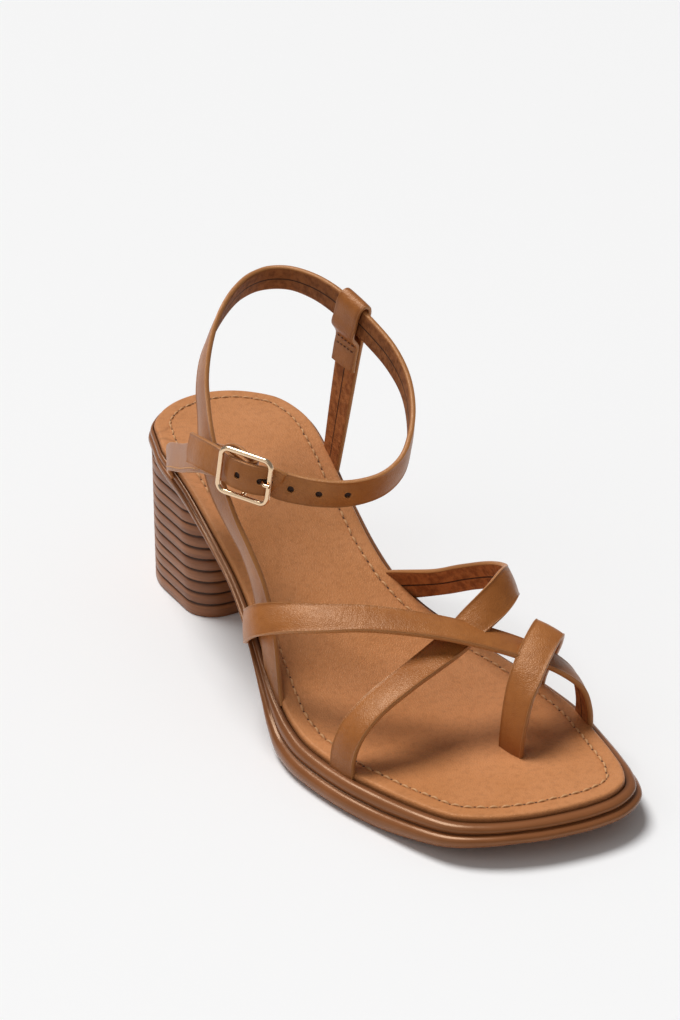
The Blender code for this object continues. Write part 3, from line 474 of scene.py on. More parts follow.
# ---------------------------------------------------------------- meshes


def make_piece(name, verts, faces, material, node, attributes=None, sharp=50):
    """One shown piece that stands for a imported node."""
    mesh = bpy.data.meshes.new(name)
    mesh.from_pydata([tuple(v) for v in place_in_frame(verts)], [], faces)
    mesh.update()
    for key, values in (attributes or {}).items():
        layer = mesh.attributes.new(key, "FLOAT", "POINT")
        layer.data.foreach_set("value", np.array(values, np.float32))
    mesh.shade_smooth()
    if sharp < 180:
        mesh.set_sharp_from_angle(angle=math.radians(sharp))
    obj = bpy.data.objects.new(name, mesh)
    bpy.context.scene.collection.objects.link(obj)
    mesh.materials.append(material)
    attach(obj, "root")
    if node:
        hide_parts(node)
    return obj


def strap_section(width, thickness, crown):
    """Half-round edged section: w, n and a side flag (1 outer, 0 edge, -1 inner)."""
    half, edge = width / 2, thickness / 2
    points = []
    for w in np.linspace(-0.92, 0.92, 11):
        points.append((w * (half - 0.3 * edge), edge + crown * (1 - w * w) - crown, 1.0))
    for a in np.radians([58, 30, 0, -30, -58]):
        points.append((half - 0.55 * edge + 0.55 * edge * math.cos(a),
                       edge * 0.94 * math.sin(a), 0.0))
    for w in np.linspace(0.92, -0.92, 11):
        points.append((w * (half - 0.3 * edge), -edge, -1.0))
    for a in np.radians([-122, -150, 180, 150, 122]):
        points.append((-half + 0.55 * edge + 0.55 * edge * math.cos(a),
                       edge * 0.94 * math.sin(a), 0.0))
    return np.array(points)


def both_ends(walk):
    return walk[0], walk[-1]


def first_end(walk):
    return (walk[0],)


def ribbon(path, width, thickness, crown=STRAP_CROWN, widths=None, feet=both_ends):
    """Closed strap: verts, faces and the attributes across, walk, side and foot_shade, the painted
    shade near the strap's feet.
    """
    centre, ahead, side, face = frames(path)
    walk = lengths_along(centre)
    verts, across, walked, flag = [], [], [], []
    for i in range(len(path)):
        shape = strap_section(width if widths is None else widths[i], thickness, crown)
        w, n, s = shape.T
        verts.append(centre[i] + w[:, None] * side[i] + n[:, None] * face[i])
        across.append(w)
        walked.append(np.full(len(w), walk[i]))
        flag.append(s)
    n = len(shape)
    faces = [tuple(range(n)), tuple(range((len(path) - 1) * n, len(path) * n))[::-1]]
    for i in range(len(path) - 1):
        for k in range(n):
            m = (k + 1) % n
            faces.append((i * n + k, (i + 1) * n + k, (i + 1) * n + m, i * n + m))
    walked = np.concatenate(walked)
    # Painted shade: the strap darkens towards each foot where it goes into the sole.
    foot_shade = sum(np.exp(-np.abs(walked - foot) / FOOT_SHADE_REACH) for foot in feet(walk))
    attributes = {"across": np.concatenate(across), "walk": walked,
                  "side": np.concatenate(flag), "foot_shade": np.minimum(foot_shade, 1.0)}
    return np.vstack(verts), faces, attributes


def join_parts(parts):
    """Several (verts, faces, attributes) as one."""
    verts, faces, attributes, base = [], [], {}, 0
    for v, f, a in parts:
        verts.append(v)
        faces += [tuple(base + i for i in face) for face in f]
        for key, values in a.items():
            attributes.setdefault(key, []).append(values)
        base += len(v)
    return np.vstack(verts), faces, {k: np.concatenate(v) for k, v in attributes.items()}


def tube(points, radius, sides=16, closed=False):
    points = np.array(points, float)
    count = len(points)
    if closed:
        ahead = np.roll(points, -1, axis=0) - np.roll(points, 1, axis=0)
    else:
        ahead = np.gradient(points, axis=0)
    ahead /= np.linalg.norm(ahead, axis=1)[:, None]
    radii = np.broadcast_to(np.array(radius, float), (count,))
    normal = unit(np.cross(ahead[0], (0.31, 0.22, 0.92)))
    rings = []
    turn = 2 * np.pi * np.arange(sides) / sides
    for i in range(count):
        normal = unit(normal - ahead[i] * normal.dot(ahead[i]))
        other = np.cross(ahead[i], normal)
        rings.append(points[i] + radii[i] * (np.cos(turn)[:, None] * normal
                                             + np.sin(turn)[:, None] * other))
    faces = []
    for i in range(count if closed else count - 1):
        j = (i + 1) % count
        for k in range(sides):
            m = (k + 1) % sides
            faces.append((i * sides + k, i * sides + m, j * sides + m, j * sides + k))
    if not closed:
        faces += [tuple(range(sides))[::-1], tuple(range((count - 1) * sides, count * sides))]
    return np.vstack(rings), faces


# ---------------------------------------------------------------- materials


class Shader:
    """Small helper that builds one Principled material from named node chains."""

    def __init__(self, name, roughness, metallic=0.0, specular=0.5,
                 tint=(1.0, 1.0, 1.0)):
        self.material = bpy.data.materials.new(name)
        self.material.use_nodes = True
        self.tree = self.material.node_tree
        self.principled = self.tree.nodes["Principled BSDF"]
        self.principled.inputs["Roughness"].default_value = roughness
        self.principled.inputs["Metallic"].default_value = metallic
        self.principled.inputs["Specular IOR Level"].default_value = specular
        self.principled.inputs["Specular Tint"].default_value = (*tint, 1.0)
        self.coords = self.tree.nodes.new("ShaderNodeTexCoord").outputs["Object"]

    def link(self, a, b):
        self.tree.links.new(a, b)

    def attribute(self, name):
        node = self.tree.nodes.new("ShaderNodeAttribute")
        node.attribute_name = name
        return node.outputs["Fac"]

    def noise(self, scale, detail=4.0, roughness=0.55, stretch=None, distortion=0.0):
        node = self.tree.nodes.new("ShaderNodeTexNoise")
        node.inputs["Scale"].default_value = scale
        node.inputs["Detail"].default_value = detail
        node.inputs["Roughness"].default_value = roughness
        node.inputs["Distortion"].default_value = distortion
        source = self.coords
        if stretch:
            mapping = self.tree.nodes.new("ShaderNodeMapping")
            mapping.inputs["Scale"].default_value = stretch
            self.link(self.coords, mapping.inputs["Vector"])
            source = mapping.outputs["Vector"]
        self.link(source, node.inputs["Vector"])
        return node.outputs["Fac"]

    def strap_noise(self, walk, across, along_scale, across_scale):
        """Noise in the strap's own length and width: troughs lie across it."""
        node = self.tree.nodes.new("ShaderNodeCombineXYZ")
        self.link(self.math("MULTIPLY", walk, along_scale), node.inputs["X"])
        self.link(self.math("MULTIPLY", across, across_scale), node.inputs["Y"])
        noise = self.tree.nodes.new("ShaderNodeTexNoise")
        noise.inputs["Scale"].default_value = 1.0
        noise.inputs["Detail"].default_value = 2.0
        noise.inputs["Distortion"].default_value = 0.6
        self.link(node.outputs["Vector"], noise.inputs["Vector"])
        return noise.outputs["Fac"]

    def cells(self, scale, feature="DISTANCE_TO_EDGE"):
        node = self.tree.nodes.new("ShaderNodeTexVoronoi")
        node.feature = feature
        node.inputs["Scale"].default_value = scale
        self.link(self.coords, node.inputs["Vector"])
        return node.outputs["Distance"]

    def math(self, operation, a, b=None, c=None, clamp=False):
        node = self.tree.nodes.new("ShaderNodeMath")
        node.operation = operation
        node.use_clamp = clamp
        for i, value in enumerate((a, b, c)):
            if value is None:
                continue
            if isinstance(value, (int, float)):
                node.inputs[i].default_value = value
            else:
                self.link(value, node.inputs[i])
        return node.outputs[0]

    def spread(self, value, low, high, to_low=0.0, to_high=1.0, smooth=True):
        node = self.tree.nodes.new("ShaderNodeMapRange")
        node.interpolation_type = "SMOOTHSTEP" if smooth else "LINEAR"
        for key, number in (("From Min", low), ("From Max", high), ("To Min", to_low),
                            ("To Max", to_high)):
            node.inputs[key].default_value = number
        self.link(value, node.inputs["Value"])
        return node.outputs["Result"]

    def mix(self, share, a, b, blend="MIX"):
        node = self.tree.nodes.new("ShaderNodeMix")
        node.data_type = "RGBA"
        node.blend_type = blend
        for key, value in (("Factor", share), ("A", a), ("B", b)):
            socket = [s for s in node.inputs if s.name == key and s.enabled][0]
            if hasattr(value, "is_output"):
                self.link(value, socket)
            elif key == "Factor":
                socket.default_value = value
            else:
                socket.default_value = (*value, 1.0)
        return [s for s in node.outputs if s.enabled][0]

    def bump(self, height, distance, strength=1.0, below=None):
        node = self.tree.nodes.new("ShaderNodeBump")
        node.inputs["Distance"].default_value = distance
        node.inputs["Strength"].default_value = strength
        self.link(height, node.inputs["Height"])
        if below is not None:
            self.link(below, node.inputs["Normal"])
        return node.outputs["Normal"]

    def finish(self, colour=None, normal=None, roughness=None):
        for value, key in ((colour, "Base Color"), (normal, "Normal"), (roughness, "Roughness")):
            if value is not None:
                self.link(value, self.principled.inputs[key])
        return self.material


TAN = (0.315, 0.101, 0.022)
TAN_LIGHT = (0.410, 0.146, 0.036)
TAN_DARK = (0.165, 0.043, 0.008)
# Warm tint of the shine on the waxed leather and the rubber
LEATHER_TINT = (1.0, 0.68, 0.44)
# Painted highlight on the straps' cut edges
EDGE_HIGHLIGHT = (0.540, 0.240, 0.085)
LINING = (0.290, 0.100, 0.030)
LINING_DARK = (0.160, 0.048, 0.013)
SEAM_DARK = (0.030, 0.010, 0.004)
INSOLE_TAN = (0.540, 0.214, 0.074)
INSOLE_LIGHT = (0.625, 0.262, 0.104)
INSOLE_DARK = (0.230, 0.075, 0.020)
RUBBER = (0.215, 0.074, 0.024)
RUBBER_LIGHT = (0.270, 0.097, 0.034)
RUBBER_DARK = (0.085, 0.030, 0.012)
HEEL_BROWN = (0.235, 0.078, 0.024)
HEEL_LIGHT = (0.335, 0.124, 0.044)
HEEL_STREAK = (0.100, 0.034, 0.012)
HEEL_GROOVE = (0.045, 0.017, 0.008)
BRASS_GOLD = (0.86, 0.62, 0.40)


def strap_leather(name, sheen=0.0, lining_painted_light=1.0):
    """Smooth tan leather: painted highlight on the cut edges, brown lining with its centre seam,
    fine grain.
    """
    s = Shader(name, 0.36, specular=0.55, tint=LEATHER_TINT)
    across, side, walk = s.attribute("across"), s.attribute("side"), s.attribute("walk")
    broad = s.noise(38.0, detail=3.0)
    fine = s.noise(420.0, detail=3.0)
    colour = s.mix(s.spread(broad, 0.32, 0.70), TAN, TAN_LIGHT)
    colour = s.mix(s.spread(fine, 0.40, 0.75, 0.0, 0.18), colour, TAN_DARK)
    from_middle = s.math("ABSOLUTE", across)
    near_edge = s.spread(from_middle, 0.0040, 0.0052)
    colour = s.mix(s.math("MULTIPLY", near_edge, 0.35), colour, TAN_DARK)
    inner = s.spread(side, -0.9, -0.4, 1.0, 0.0)
    # Lining lightened by lining_painted_light: painted light on the lining.
    lining = s.mix(s.spread(fine, 0.35, 0.70), tuple(c * lining_painted_light for c in LINING),
                   tuple(c * lining_painted_light for c in LINING_DARK))
    colour = s.mix(inner, colour, lining)
    # Painted shade: darker towards the strap's feet at the sole.
    colour = s.mix(s.spread(s.attribute("foot_shade"), 0.0, 1.0, 0.0, 0.62), colour, TAN_DARK)
    seam = s.spread(from_middle, 0.00018, 0.00042, 1.0, 0.0)
    seam = s.math("MULTIPLY", seam, inner)
    colour = s.mix(seam, colour, SEAM_DARK)
    # Painted highlight along the cut edges of the strap.
    rim = s.math("MULTIPLY", s.spread(s.math("ABSOLUTE", side), 0.0, 0.6, 1.0, 0.0), 0.55)
    colour = s.mix(rim, colour, EDGE_HIGHLIGHT)
    grain = s.cells(1500.0)
    normal = s.bump(s.spread(grain, 0.0, 0.25), 0.00008, 0.45)
    normal = s.bump(s.noise(900.0, detail=5.0), 0.00014, 0.45, below=normal)
    normal = s.bump(s.noise(120.0, detail=3.0), 0.0006, 0.25, below=normal)
    pucker = s.strap_noise(walk, across, 620.0, 150.0)
    patch = s.spread(s.noise(55.0, detail=2.0), 0.46, 0.66)
    ribs = s.math("MULTIPLY", pucker, s.math("MAXIMUM", inner, s.math("MULTIPLY", patch, 0.5)))
    normal = s.bump(ribs, 0.0006, 0.55, below=normal)
    normal = s.bump(seam, 0.0005, -0.8, below=normal)
    rough = s.spread(inner, 0.0, 1.0, 0.36 - sheen, 0.78)
    return s.finish(colour, normal, rough)


def insole_leather():
    s = Shader("insole_leather", 0.42, specular=0.40, tint=LEATHER_TINT)
    broad = s.noise(22.0, detail=3.0)
    fine = s.noise(520.0, detail=4.0)
    colour = s.mix(s.spread(broad, 0.30, 0.72), INSOLE_TAN, INSOLE_LIGHT)
    colour = s.mix(s.spread(fine, 0.42, 0.72, 0.0, 0.22), colour, INSOLE_DARK)
    edge = s.attribute("edge")
    channel = s.math("ABSOLUTE", s.math("SUBTRACT", s.attribute("inward"), STITCH_INSET))
    channel = s.spread(channel, 0.0, 0.0013, 1.0, 0.0)
    # Painted shade in the pressed stitch channel.
    colour = s.mix(s.math("MULTIPLY", channel, 0.28), colour, TAN_DARK)
    # Painted shade: darker down the insole's rounded edge.
    colour = s.mix(s.spread(edge, 0.0, 1.0, 0.0, 0.45), colour, TAN_DARK)
    normal = s.bump(s.spread(s.cells(1100.0), 0.0, 0.22), 0.00009, 0.55)
    normal = s.bump(s.noise(650.0, detail=5.0), 0.00016, 0.5, below=normal)
    normal = s.bump(s.noise(150.0, detail=4.0, distortion=0.8), 0.0005, 0.22, below=normal)
    normal = s.bump(channel, 0.0005, -0.7, below=normal)
    return s.finish(colour, normal)


def sole_rubber():
    s = Shader("sole_rubber", 0.27, specular=0.55, tint=LEATHER_TINT)
    depth = s.attribute("depth")
    broad = s.noise(30.0, detail=3.0)
    colour = s.mix(s.spread(broad, 0.3, 0.7), RUBBER, RUBBER_LIGHT)
    # Painted shade: darker at the crease under the insole, in the rim's groove and a little on the
    # underside.
    colour = s.mix(s.spread(depth, 0.0, 1.0, 0.0, 0.85), colour, RUBBER_DARK)
    normal = s.bump(s.noise(240.0, detail=4.0), 0.00020, 0.35)
    return s.finish(colour, normal)


def heel_leather():
    """Stacked layers: each a slightly different brown, streaked along the cut."""
    s = Shader("heel_stack", 0.40, specular=0.45)
    depth = s.attribute("depth")
    layer = s.noise(1.0, detail=1.0, stretch=(8.0, 8.0, 225.0))
    streak = s.noise(1.0, detail=5.0, stretch=(60.0, 60.0, 1500.0))
    colour = s.mix(s.spread(layer, 0.3, 0.7), HEEL_BROWN, HEEL_LIGHT)
    colour = s.mix(s.spread(streak, 0.42, 0.75, 0.0, 0.45), colour, HEEL_STREAK)
    colour = s.mix(s.spread(depth, 0.0, 1.0, 0.0, 0.9), colour, HEEL_GROOVE)
    normal = s.bump(streak, 0.00025, 0.5)
    return s.finish(colour, normal)


def plain(name, colour, roughness, metallic=0.0):
    s = Shader(name, roughness, metallic)
    s.principled.inputs["Base Color"].default_value = (*colour, 1.0)
    return s


def brass():
    s = plain("buckle_brass", BRASS_GOLD, 0.20, metallic=1.0)
    normal = s.bump(s.noise(300.0, detail=3.0), 0.0001, 0.2)
    return s.finish(normal=normal)


# The forefoot straps' lining is lightened 1.6 times: painted light where the lamps leave it dark.
STRAP = strap_leather("strap_leather", lining_painted_light=1.6)
ANKLE = strap_leather("ankle_leather")
QUARTER = strap_leather("quarter_leather", sheen=0.04)
INSOLE = insole_leather()
SOLE = sole_rubber()
HEEL = heel_leather()
BRASS = brass()
THREAD = plain("thread", (0.620, 0.315, 0.130), 0.6).finish()
DARK_THREAD = plain("dark_thread", (0.130, 0.045, 0.014), 0.6).finish()
# Painted shade inside the punched strap holes
HOLE_SHADE = plain("painted_hole_shade", (0.035, 0.012, 0.005), 0.8).finish()
# Painted shade of the needle holes round the insole
NEEDLE_HOLE_SHADE = plain("needle_hole_shade", (0.085, 0.028, 0.010), 0.8).finish()


# ---------------------------------------------------------------- sole


def cap(first, upward, stations=STATIONS):
    count = 2 * stations
    faces = [(first, first + 1, first + count - 1)]
    for i in range(1, stations - 1):
        faces.append((first + i, first + i + 1, first + count - i - 1, first + count - i))
    faces.append((first + stations - 1, first + stations, first + stations + 1))
    return faces if upward else [face[::-1] for face in faces]


def stacked(rings, close_top=True):
    count = len(rings[0])
    faces = cap(0, True) if close_top else []
    for r in range(len(rings) - 1):
        a, b = r * count, (r + 1) * count
        for i in range(count):
            j = (i + 1) % count
            faces.append((a + i, b + i, b + j, a + j))
    faces += cap((len(rings) - 1) * count, False)
    return np.vstack(rings), faces


def build_outsole():
    rows = np.array([(out, down, 0.0) for out, down in RIM_PROFILE])
    profile = smooth_path(rows, 4)
    rings = [ring_at(GAP, seat_level),
             ring_at(GAP, lambda y: top_height(y) - CREASE_DROP - 0.4 * GAP)]
    depth = [1.0, 1.0]
    for out, down, _ in profile:
        def height(y, down=down):
            crease = top_height(y) - CREASE_DROP
            return crease + (under_height(y) - crease) * down
        rings.append(ring_at(lambda y, out=out: GAP + rim_width(y) * out, height))
        # depth drives the painted shade: full at the crease, in the groove, a little on the
        # underside
        groove = math.exp(-((down - 0.375) / 0.035) ** 2)
        depth.append(max(1.0 - out / 0.30 if down < 0.1 else 0.0, 0.85 * groove))
    for inset in SOLE_UNDER_INSETS:
        rings.append(ring_at(lambda y, inset=inset: -inset, under_height))
        depth.append(0.2)
    verts, faces = stacked(rings)
    return make_piece("outsole_moulded", verts, faces, SOLE, "outsole",
                      {"depth": np.repeat(depth, 2 * STATIONS)})


def insole_relief(verts):
    """Soft pressed dents beside the strap feet and a faint hollow under the foot."""
    out = verts.copy()
    x, y = verts[:, 0], verts[:, 1]
    along = (HEEL_Y - y) / INSOLE_LENGTH
    across = x / BALL_WIDTH
    for a0, s0, wide, deep in ((0.02, 0.10, 0.16, 0.0006), (0.0, 0.74, 0.22, 0.0007)):
        far = ((across - a0) / wide) ** 2 + ((along - s0) / (wide * 0.42)) ** 2
        out[:, 2] -= deep * np.exp(-far)
    return out


def build_insole():
    """Grid over the insole: rings shrinking towards the middle line."""
    r = INSOLE_EDGE
    insets = [(0.0, -INSOLE_THICKNESS + INSOLE_UNDERCUT),
              (0.0, -0.75 * r - INSOLE_UNDERCUT), (0.0, -r),
              (-0.08 * r, -0.62 * r), (-0.30 * r, -0.29 * r), (-0.62 * r, -0.08 * r),
              (-1.0 * r, 0.0)]
    # edge runs from 0 on the top to 1 down the rounded edge, for the painted shade there
    rings, edge = [], []
    for out, drop in insets[::-1]:
        rings.append(ring_at(out, lambda y, drop=drop: top_height(y) + drop))
        edge.append(min(1.0, -drop / r))
    count = 2 * STATIONS
    verts, faces = stacked(rings, close_top=False)
    values = np.repeat(edge, count)
    # top: rows across, each from the lateral rim vertex to its medial partner
    top_ring = rings[0]
    rows, index, base = [], [], len(verts)
    for i in range(1, STATIONS):
        left, right = top_ring[i], top_ring[count - i]
        ids = [i]
        for k in range(1, INSOLE_STEPS):
            rows.append(left + (right - left) * k / INSOLE_STEPS)
            ids.append(base)
            base += 1
        ids.append(count - i)
        index.append(ids)
    for a, b in zip(index[:-1], index[1:]):
        for k in range(INSOLE_STEPS):
            faces.append((a[k], b[k], b[k + 1], a[k + 1]))
    faces.append(tuple([0] + index[0]))
    faces.append(tuple([STATIONS] + index[-1][::-1]))
    verts = np.vstack([verts, rows])
    values = np.concatenate([values, np.zeros(len(rows))])
    inward = distance_to_outline(verts)
    return make_piece("insole_padded", insole_relief(verts), faces, INSOLE, "insole",
                      {"edge": values, "inward": inward})


def distance_to_outline(verts):
    """How far inside the insole's edge each vertex lies, in plan."""
    gaps = np.linalg.norm(verts[:, None, :2] - OUTLINE[None, ::2], axis=2)
    return gaps.min(axis=1)


def walk_loop(loop, pitch):
    """Evenly spaced points and directions round a closed loop."""
    closed = np.vstack([loop, loop[:1]])
    walked = lengths_along(closed)
    count = int(round(walked[-1] / pitch))
    at = (np.arange(count) + 0.5) * walked[-1] / count
    place = np.column_stack([np.interp(at, walked, closed[:, k]) for k in range(closed.shape[1])])
    ahead = np.column_stack([np.interp((at + 0.0005) % walked[-1], walked, closed[:, k])
                             for k in range(closed.shape[1])]) - place
    return place, ahead / np.linalg.norm(ahead, axis=1)[:, None]


def stitch(place, ahead, up, length, width, rise):
    """One thread stitch: a short bent bead whose ends dip into the leather."""
    points, radii = [], []
    for t in np.linspace(-1, 1, 7):
        lift = rise * (1 - t * t) - 0.4 * width * t * t
        points.append(place + ahead * t * length / 2 + up * lift)
        radii.append(width / 2 * (1 - 0.35 * t * t))
    return tube(points, radii, sides=6)


def dimple(place, ahead, up, radius):
    """Flat dark disc in the leather where the needle went through: painted shade of the hole."""
    other = np.cross(up, ahead)
    turn = 2 * np.pi * np.arange(8) / 8
    ring = place + radius * (np.cos(turn)[:, None] * ahead * 1.2 + np.sin(turn)[:, None] * other)
    return ring + up * 0.00006, [tuple(range(8))]


def build_insole_stitching():
    loop = offset_loop(OUTLINE, -STITCH_INSET)
    place, ahead = walk_loop(loop, STITCH_PITCH)
    threads, holes = [], []
    random = np.random.default_rng(7)
    for p, d in zip(place, ahead):
        turn = random.normal(0.0, 0.07)
        d = np.array([d[0] - d[1] * turn, d[1] + d[0] * turn])
        p = p + random.normal(0.0, 0.00012, 2)
        z = float(insole_relief(np.array([[p[0], p[1], top_height(p[1])]]))[0, 2])
        slope = (top_height(p[1] + 0.001) - top_height(p[1] - 0.001)) / 0.002
        up = unit([0, -slope, 1.0])
        along = unit([d[0], d[1], d[1] * slope])
        here = np.array([p[0], p[1], z])
        threads.append((*stitch(here, along, up, STITCH_LENGTH, STITCH_WIDTH,
                                STITCH_RISE), {}))
        hole = here + along * STITCH_PITCH / 2
        radius = NEEDLE_HOLE_RADIUS * random.uniform(0.6, 1.2)
        holes.append((*dimple(hole, along, up, radius), {}))
    verts, faces, _ = join_parts(threads)
    make_piece("insole_stitching", verts, faces, THREAD, None, sharp=180)
    verts, faces, _ = join_parts(holes)
    make_piece("insole_stitch_holes", verts, faces, NEEDLE_HOLE_SHADE, None, sharp=180)


# ---------------------------------------------------------------- heel


def heel_outline(share):
    half = (HEEL_BASE_WIDTH + (HEEL_TOP_WIDTH - HEEL_BASE_WIDTH) * share) / 2
    length = HEEL_BASE_LENGTH + (HEEL_TOP_LENGTH - HEEL_BASE_LENGTH) * share
    back = HEEL_Y + rim_width(HEEL_Y) - HEEL_BACK_INSET
    front = back - length
    centre_x = OUTLINE[OUTLINE[:, 1].argmax(), 0]
    points = []
    for radius, sign, angles in ((HEEL_CORNER_LATERAL, -1, np.linspace(270, 180, 12)),
                                 (half, 0, np.linspace(180, 0, 60)),
                                 (HEEL_CORNER_MEDIAL, 1, np.linspace(0, -90, 12))):
        middle_x = centre_x + sign * (half - radius)
        middle_y = back - half if sign == 0 else front + radius
        points += [(middle_x + radius * math.cos(math.radians(a)),
                    middle_y + radius * math.sin(math.radians(a))) for a in angles]
    return np.array(points)


def build_heel():
    """Layers with a soft shoulder and a narrow dark groove between them."""
    levels = [(0.0, 0.0005, 0.0), (0.0005, 0.0, 0.0)]
    z = HEEL_LAYER * 1.1
    while z < SEAT_HEIGHT:
        for dz, inset, dark in HEEL_GROOVE_PROFILE:
            levels.append((z + dz, inset, dark))
        z += HEEL_LAYER
    verts, values = [], []
    for z, inset, dark in levels:
        loop = heel_outline(z / SEAT_HEIGHT)
        away = loop - loop.mean(axis=0)
        away /= np.linalg.norm(away, axis=1)[:, None]
        inner = loop - away * inset
        limit = under_height(inner[:, 1]) - 0.0001
        verts += [(p[0], p[1], min(z, top)) for p, top in zip(inner, limit)]
        values += [dark if z < top else 0.0 for top in limit]
    n = len(loop)
    faces = [tuple(range(n))]
    for r in range(len(levels) - 1):
        for i in range(n):
            j = (i + 1) % n
            faces.append((r * n + j, r * n + i, (r + 1) * n + i, (r + 1) * n + j))
    faces = [face[::-1] for face in faces]
    return make_piece("heel_stack", verts, faces, HEEL, "heel", {"depth": values},
                      sharp=70)


# ---------------------------------------------------------------- straps


def toe_post_rows():
    x = POST_ACROSS * BALL_WIDTH
    y = HEEL_Y - POST_ALONG * INSOLE_LENGTH
    face = (-math.cos(POST_TURN), -math.sin(POST_TURN), 0.0)
    low = np.array([x, y, seat_level(y) + GAP, *face])
    high = low.copy()
    high[2] = top_height(y) + STRAP_WIDTH * 0.35
    return [low, high]


def build_forefoot_straps():
    routes = (strap_path(table_rows(INSTEP_STRAP), INSTEP_FROM, INSTEP_TO),
              strap_path(table_rows(VAMP_STRAP), VAMP_FROM, VAMP_TO),
              strap_path(toe_post_rows() + table_rows(TOE_STRAP), end=TOE_TO))
    parts = [ribbon(route, STRAP_WIDTH, STRAP_THICKNESS) for route in routes]
    verts, faces, attributes = join_parts(parts)
    return make_piece("forefoot_strap_leather", verts, faces, STRAP, "forefoot_straps",
                      attributes)


BUCKLE_CENTRE = table_rows([(BUCKLE_ACROSS, BUCKLE_ALONG, BUCKLE_UP, 0, 0, 0)])[0][:3]
AXIS_U = unit(BUCKLE_FORWARD)
AXIS_V = unit(np.array(BUCKLE_UPWARD) - AXIS_U * np.dot(BUCKLE_UPWARD, AXIS_U))
AXIS_N = np.cross(AXIS_U, AXIS_V)
SIDE_BAR = FRAME_LENGTH / 2 - WIRE / 2
STRAP_UNDER_BAR = -(WIRE / 2 + GAP + 2 * ROOM + ANKLE_THICKNESS / 2)
QUARTER_OUTER = STRAP_UNDER_BAR - ANKLE_THICKNESS / 2 - GAP - 2 * ROOM - QUARTER_THICKNESS / 2
WRAP_OUTER = -BAR_DROP + CENTRE_BAR / 2 + GAP + QUARTER_THICKNESS / 2
WRAP_INNER = -BAR_DROP - CENTRE_BAR / 2 - GAP - QUARTER_THICKNESS / 2
STRAP_OVER_BAR = WRAP_OUTER + QUARTER_THICKNESS / 2 + GAP + ANKLE_THICKNESS / 2
QUARTER_INNER = QUARTER_OUTER - QUARTER_THICKNESS - ANKLE_THICKNESS - FOLD_ROOM
PRONG_HOLE_U = 0.0070
PRONG_HOLE_LENGTH = 0.0054
FRONT_HOLES = 3


def at_buckle(u, v, n):
    return BUCKLE_CENTRE + u * AXIS_U + v * AXIS_V + n * AXIS_N


def buckle_row(u, n, v=0.0):
    return np.array([*at_buckle(u, v, n), *AXIS_N])


def beneath(row, depth):
    face = unit(row[3:])
    return np.array([*(row[:3] - face * depth), *-face])


def ankle_path():
    front = [buckle_row(SIDE_BAR, STRAP_UNDER_BAR),
             buckle_row(SIDE_BAR * 0.45, STRAP_OVER_BAR - 0.25 * CENTRE_BAR),
             buckle_row(0.0, STRAP_OVER_BAR),
             buckle_row(-SIDE_BAR * 0.45, STRAP_OVER_BAR - 0.35 * CENTRE_BAR),
             buckle_row(-SIDE_BAR, STRAP_UNDER_BAR)]
    rows = table_rows(ANKLE_FOOT)[::-1] + table_rows(ANKLE_RING) + front + table_rows(ANKLE_TIP)
    return strap_path(rows, start=ANKLE_TO)


def slot_prism(centre, direction, lengthways, diameter, length, depth, sides):
    """Round or oval prism across a strap, from -depth to +depth about its centre."""
    direction, lengthways = unit(direction), unit(lengthways)
    across = np.cross(direction, lengthways)
    ring = [centre + across * diameter / 2 * math.sin(a)
            + lengthways * (diameter / 2 * math.cos(a)
                            + math.copysign((length - diameter) / 2, math.cos(a)))
            for a in 2 * np.pi * np.arange(sides) / sides + 0.01]
    reach = direction * depth
    verts = [point - reach for point in ring] + [point + reach for point in ring]
    faces = [tuple(range(sides))[::-1], tuple(range(sides, 2 * sides))]
    faces += [(i, (i + 1) % sides, sides + (i + 1) % sides, sides + i) for i in range(sides)]
    return np.array(verts), faces


def punch(obj, centre, direction, lengthways, diameter, length):
    """Round or oval hole through a strap, walls included."""
    verts, faces = slot_prism(centre, direction, lengthways, diameter, length,
                              2 * STRAP_THICKNESS, PUNCH_SIDES)
    mesh = bpy.data.meshes.new("punch")
    mesh.from_pydata([tuple(v) for v in place_in_frame(verts)], [], faces)
    work = bmesh.new()
    work.from_mesh(mesh)
    bmesh.ops.recalc_face_normals(work, faces=work.faces)
    work.to_mesh(mesh)
    work.free()
    tool = bpy.data.objects.new("punch", mesh)
    bpy.context.scene.collection.objects.link(tool)
    modifier = obj.modifiers.new("punch", "BOOLEAN")
    modifier.operation = "DIFFERENCE"
    modifier.object = tool
    modifier.solver = "EXACT"
    bpy.context.view_layer.update()
    graph = bpy.context.evaluated_depsgraph_get()
    result = bpy.data.meshes.new_from_object(obj.evaluated_get(graph))
    obj.modifiers.remove(modifier)
    obj.data = result
    bpy.data.objects.remove(tool)


def hole_shade_disc(centre, direction, lengthways, diameter, length):
    """Thin dark disc half-way down a punched hole: painted shade where little light gets."""
    return (*slot_prism(centre, direction, lengthways, diameter, length, SHADE_DISC_DEPTH, SHADE_DISC_SIDES),
            {})


